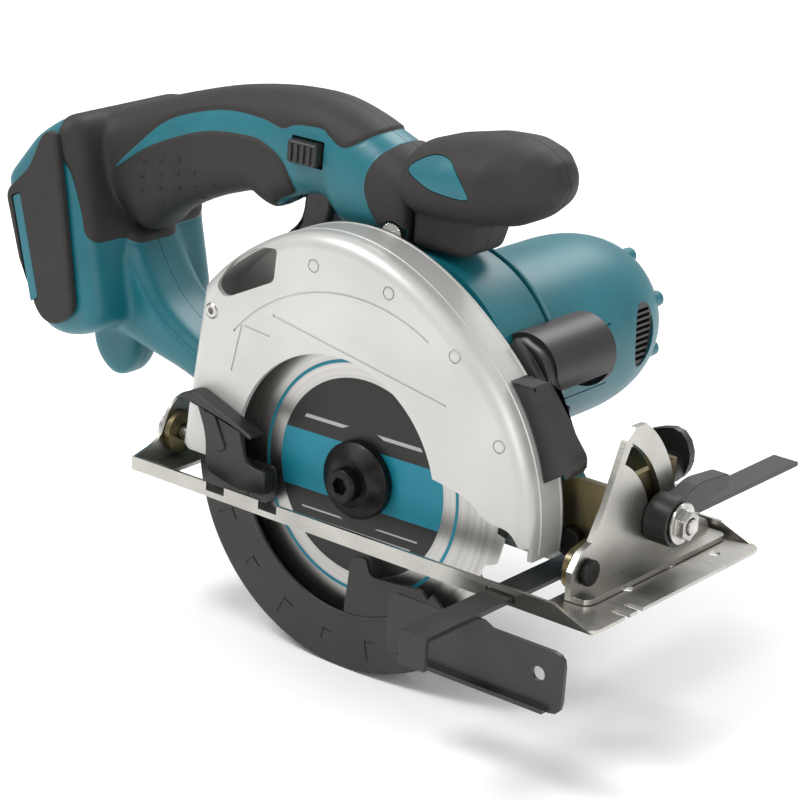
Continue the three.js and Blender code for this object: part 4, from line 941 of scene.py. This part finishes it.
# ---------------------------------------------------------------- housings
def gear_housing():
    profile = [(st(16.6), 49), (st(44), 49), (st(46), 47.5), (st(60), 37.5)]
    body = turned("gear_housing_moulding", profile, MOTOR, facets=128)
    low = rounded([(-40, 2, 6), (40, 2, 6), (46, 30, 10), (40, 60), (-34, 60), (-46, 30, 10)])
    arm = rounded([(36, 58), (58, 60, 6), (90.5, 19.5, 4), (91, 14.5, 4), (85, 8.5, 4), (77, 11.5, 6), (60, 26, 8),
                   (42, 34)])
    joins = [
        slab("lower", low, st(16.6), st(46), edge=3),
        slab("arm", arm, st(20), st(32), edge=2),
        rod("tube", "y", PIVOT, 6.8, st(20), st(59.5), 64),
        turned("band", [(st(45.2), 49.4), (st(45.6), 49.8), (st(48.6), 48.6), (st(49), 47.6)], MOTOR, facets=128),
    ]
    combine(body, joins, "UNION")
    cuts = [
        rod("bore", "y", PIVOT, 3.3, st(15), st(70), 32),
        rod("hollow", "y", MOTOR, 46, st(12), st(42), 96),
        slab("low_hollow", rounded([(-36.5, 4, 4), (36.5, 4, 4), (42, 31, 8), (37, 58), (-31, 58), (-42, 31, 8)]),
             st(12), st(43)),
        block("button_hole", (45.6, 2.4, 41.4), (64, 8.6, 53.6)),
    ]
    combine(body, cuts)
    finish_piece(body, "gear_housing", TEAL, 0.5)


def motor_housing():
    a = np.radians(np.linspace(0, 90, 14))
    dome = [(st(112) + 38 * math.sin(t), 20 + 16 * math.cos(t)) for t in a[:-1]] + [(st(150), 18)]
    body = turned("motor_housing_moulding", [(st(62.3), 36), (st(63), 36.2)] + dome, MOTOR, facets=128)
    bumps = []
    for k in range(8):
        angle = math.radians(45 * k + 22.5)
        centre = (MOTOR[0] + 27 * math.cos(angle), MOTOR[1] + 27 * math.sin(angle))
        bumps.append(turned("bump", [(st(128), 4), (st(146.5), 3.2), (st(148), 2)], centre, facets=24))
    combine(body, bumps, "UNION")
    cuts = [oval_hole("vent", MOTOR[0] - 70, MOTOR[0] + 70, 8, 13),
            rod("hollow", "y", MOTOR, 33, st(60), st(110), 96),
            turned("dome_hollow", [(s, max(r - 3, 4)) for s, r in dome[:-2]], MOTOR, facets=96)]
    for z in (MOTOR[1] + 12, MOTOR[1] - 12):
        cuts.append(block("panel_line", (MOTOR[0] + 30, st(66), z - 0.3), (MOTOR[0] + 45, st(100), z + 0.3)))
    combine(body, cuts)
    finish_piece(body, "motor_housing", TEAL, 0.4)
    grille = oval_hole("vent_grille_moulding", MOTOR[0] + 30.6, MOTOR[0] + 32.6, 8.2, 13.2)
    slots = []
    for i in range(-4, 5):
        half = 6.6 * math.sqrt(1 - (i / 5.4) ** 2)
        z = MOTOR[1] + 2 + i * 2.5
        slots.append(block("slot", (MOTOR[0] + 28, st(124 - half), z - 0.7), (MOTOR[0] + 36, st(124 + half), z + 0.7)))
    combine(grille, slots)
    finish_piece(grille, "vent_grille", BLACK, 0.15)


def oval_hole(name, low, high, half_y, half_z):
    a = np.linspace(0, 2 * math.pi, 48, endpoint=False)
    shape = np.stack([st(124) + half_y * np.cos(a), MOTOR[1] + 2 + half_z * np.sin(a)], 1)
    return slab(name, shape, low, high, "x")


# ---------------------------------------------------------------- foot and controls
BUMPER = [(-178.5, 92, 4), (-166, 104, 4), (-159, 120, 6), (-152, 121, 6), (-148, 100, 12), (-140, 50, 5),
          (-150, 42, 5), (-159, 44, 8), (-170.5, 66)]


def foot_bumpers():
    for node, side in (("foot_bumper_right", -1), ("foot_bumper_left", 1)):
        inner, outer = SEAM + side * 37.1, SEAM + side * 40.4
        low, high = min(inner, outer), max(inner, outer)
        pad = slab(node + "_pad", rounded(BUMPER, 8), low, high, edge=1.6 if side > 0 else 0.2,
                   edge_low=1.6 if side < 0 else 0.2)
        strip = [(-174.8, 91, 1), (-170, 93.5, 1), (-158.6, 52, 1), (-163.4, 48.5, 1)]
        face = outer - side * 1.0
        groove = slab("groove", rounded(strip, 4), min(face, outer + side), max(face, outer + side))
        combine(pad, [groove])
        finish_piece(pad, node, RUBBER, 0.3)
        inset = slab(node + "_stripe", rounded([(-174.2, 90.6, 1), (-170.2, 92.6, 1), (-159.3, 52.2, 1),
                                                (-163.1, 49.5, 1)], 4), min(face, face + side * 0.6),
                     max(face, face + side * 0.6))
        detail(inset, node, TEAL, 0.15)


def switch_controls():
    finger = [(-53.5, 117.5, 2), (-39, 117.5, 2), (-41, 101, 6), (-49, 92, 6), (-66, 86, 3), (-64, 93, 7),
              (-55, 101, 6)]
    trigger = slab("trigger_moulding", rounded(finger, 10), SEAM - 6, SEAM + 6, edge=2.5)
    finish_piece(trigger, "trigger", BLACK, 0.2)
    button = block("lock_off_moulding", (-52, SEAM - 20.2, 127), (-38, SEAM - 14, 136), 1.4)
    ribs = [block("rib", (-50.5 + 3 * k, SEAM - 20.9, 128), (-49.2 + 3 * k, SEAM - 19.8, 135)) for k in range(4)]
    finish_piece(combine(button, ribs, "UNION"), "lock_off_button", BLACK, 0.25)


# ---------------------------------------------------------------- base
def base_parts():
    """The steel parts and small mouldings that keep their CAD shape, with finer edges."""
    refined("sole_plate", 0.35)
    refined("bevel_quadrant", 0.5, SHEET)
    for node, width in (("front_bracket", 0.5), ("depth_guide", 0.4), ("rip_fence", 0.5), ("bevel_lever", 0.8),
                        ("depth_lever", 0.9), ("fence_wing_screw", 0.4), ("bevel_nut", 0.3),
                        ("bevel_clamp_bolt", 0.3), ("bevel_front_pin", 0.4), ("depth_pivot_screw", 0.4),
                        ("rear_pivot_pin", 0.4), ("shaft_lock_button", 0.5), ("inner_flange", 0.3),
                        ("lamp_lens", 0.4), ("bearing_box", 0.4), ("gear_bracket", 0.4), ("terminal_block", 0.5)):
        refined(node, width)


def case_knurled_screw():
    a = np.linspace(0, 2 * math.pi, 96, endpoint=False)
    r = 4.9 - 0.25 * (1 + np.cos(24 * a))
    outline = np.stack([KNURLED_SCREW[0] + r * np.cos(a), KNURLED_SCREW[1] + r * np.sin(a)], 1)
    piece = slab("case_knurled_screw_turned", outline, st(12.7), st(16.1), edge=0.3)
    finish_piece(piece, "case_knurled_screw", BRIGHT, 0)


def plain_nodes():
    """What stays as the frame made it gets the finish of its slot."""
    for name, node in frame["nodes"].items():
        if not node.hide_render:
            node.data.materials.clear()
            node.data.materials.append(FINISH[SLOT_OF[name]])


# ---------------------------------------------------------------- scene
def studio():
    """Pale floor, pale surroundings and large soft lights."""
    floor = to_mesh("floor", [(-3000, -3000, FLOOR_Z), (3000, -3000, FLOOR_Z), (3000, 3000, FLOOR_Z),
                              (-3000, 3000, FLOOR_Z)], [(0, 1, 2, 3)])
    material, _, _ = new_material("pale_floor", "#FFFFFF", 0.95)
    floor.data.materials.append(material)
    world = bpy.data.worlds.new("pale_room")
    world.use_nodes = True
    world.node_tree.nodes["Background"].inputs[0].default_value = (1, 1, 1, 1)
    world.node_tree.nodes["Background"].inputs[1].default_value = 0.64
    bpy.context.scene.world = world
    for name, place_, size, power in (("key", (-0.7, -0.9, 1.6), 0.7, 22), ("fill", (1.3, -0.5, 0.7), 0.9, 6),
                                      ("back", (-0.2, 1.2, 1.4), 0.8, 16)):
        lamp = bpy.data.lights.new(name, "AREA")
        lamp.size = size
        lamp.energy = power
        holder = bpy.data.objects.new(name, lamp)
        holder.location = place_
        holder.rotation_euler = (Vector((0, 0, 0.05)) - Vector(place_)).to_track_quat("-Z", "Y").to_euler()
        bpy.context.scene.collection.objects.link(holder)


def camera():
    """Long lens from the front left of the blade side, rolled a little."""
    eye = Vector((0.60259, -0.82255, 0.39992))
    aim = Vector((0.01579, -0.035, 0.05329))
    made = bpy.data.objects.new("camera", bpy.data.cameras.new("camera"))
    made.data.lens = 128.39
    made.data.sensor_width = 36
    turn = (aim - eye).to_track_quat("-Z", "Y").to_matrix() @ Matrix.Rotation(math.radians(3.85), 3, "Z")
    made.matrix_world = Matrix.Translation(eye) @ turn.to_4x4()
    bpy.context.scene.collection.objects.link(made)
    bpy.context.scene.camera = made
    bpy.context.scene.view_settings.view_transform = "Standard"


FLOOR_Z = -56.5

blade_case()
saw_blade()
blade_fixings()
lower_guard()
guard_lever()
front_deflector()
lamp_housing()
handle()
front_grip()
gear_housing()
motor_housing()
foot_bumpers()
switch_controls()
base_parts()
case_knurled_screw()
plain_nodes()
studio()
camera()
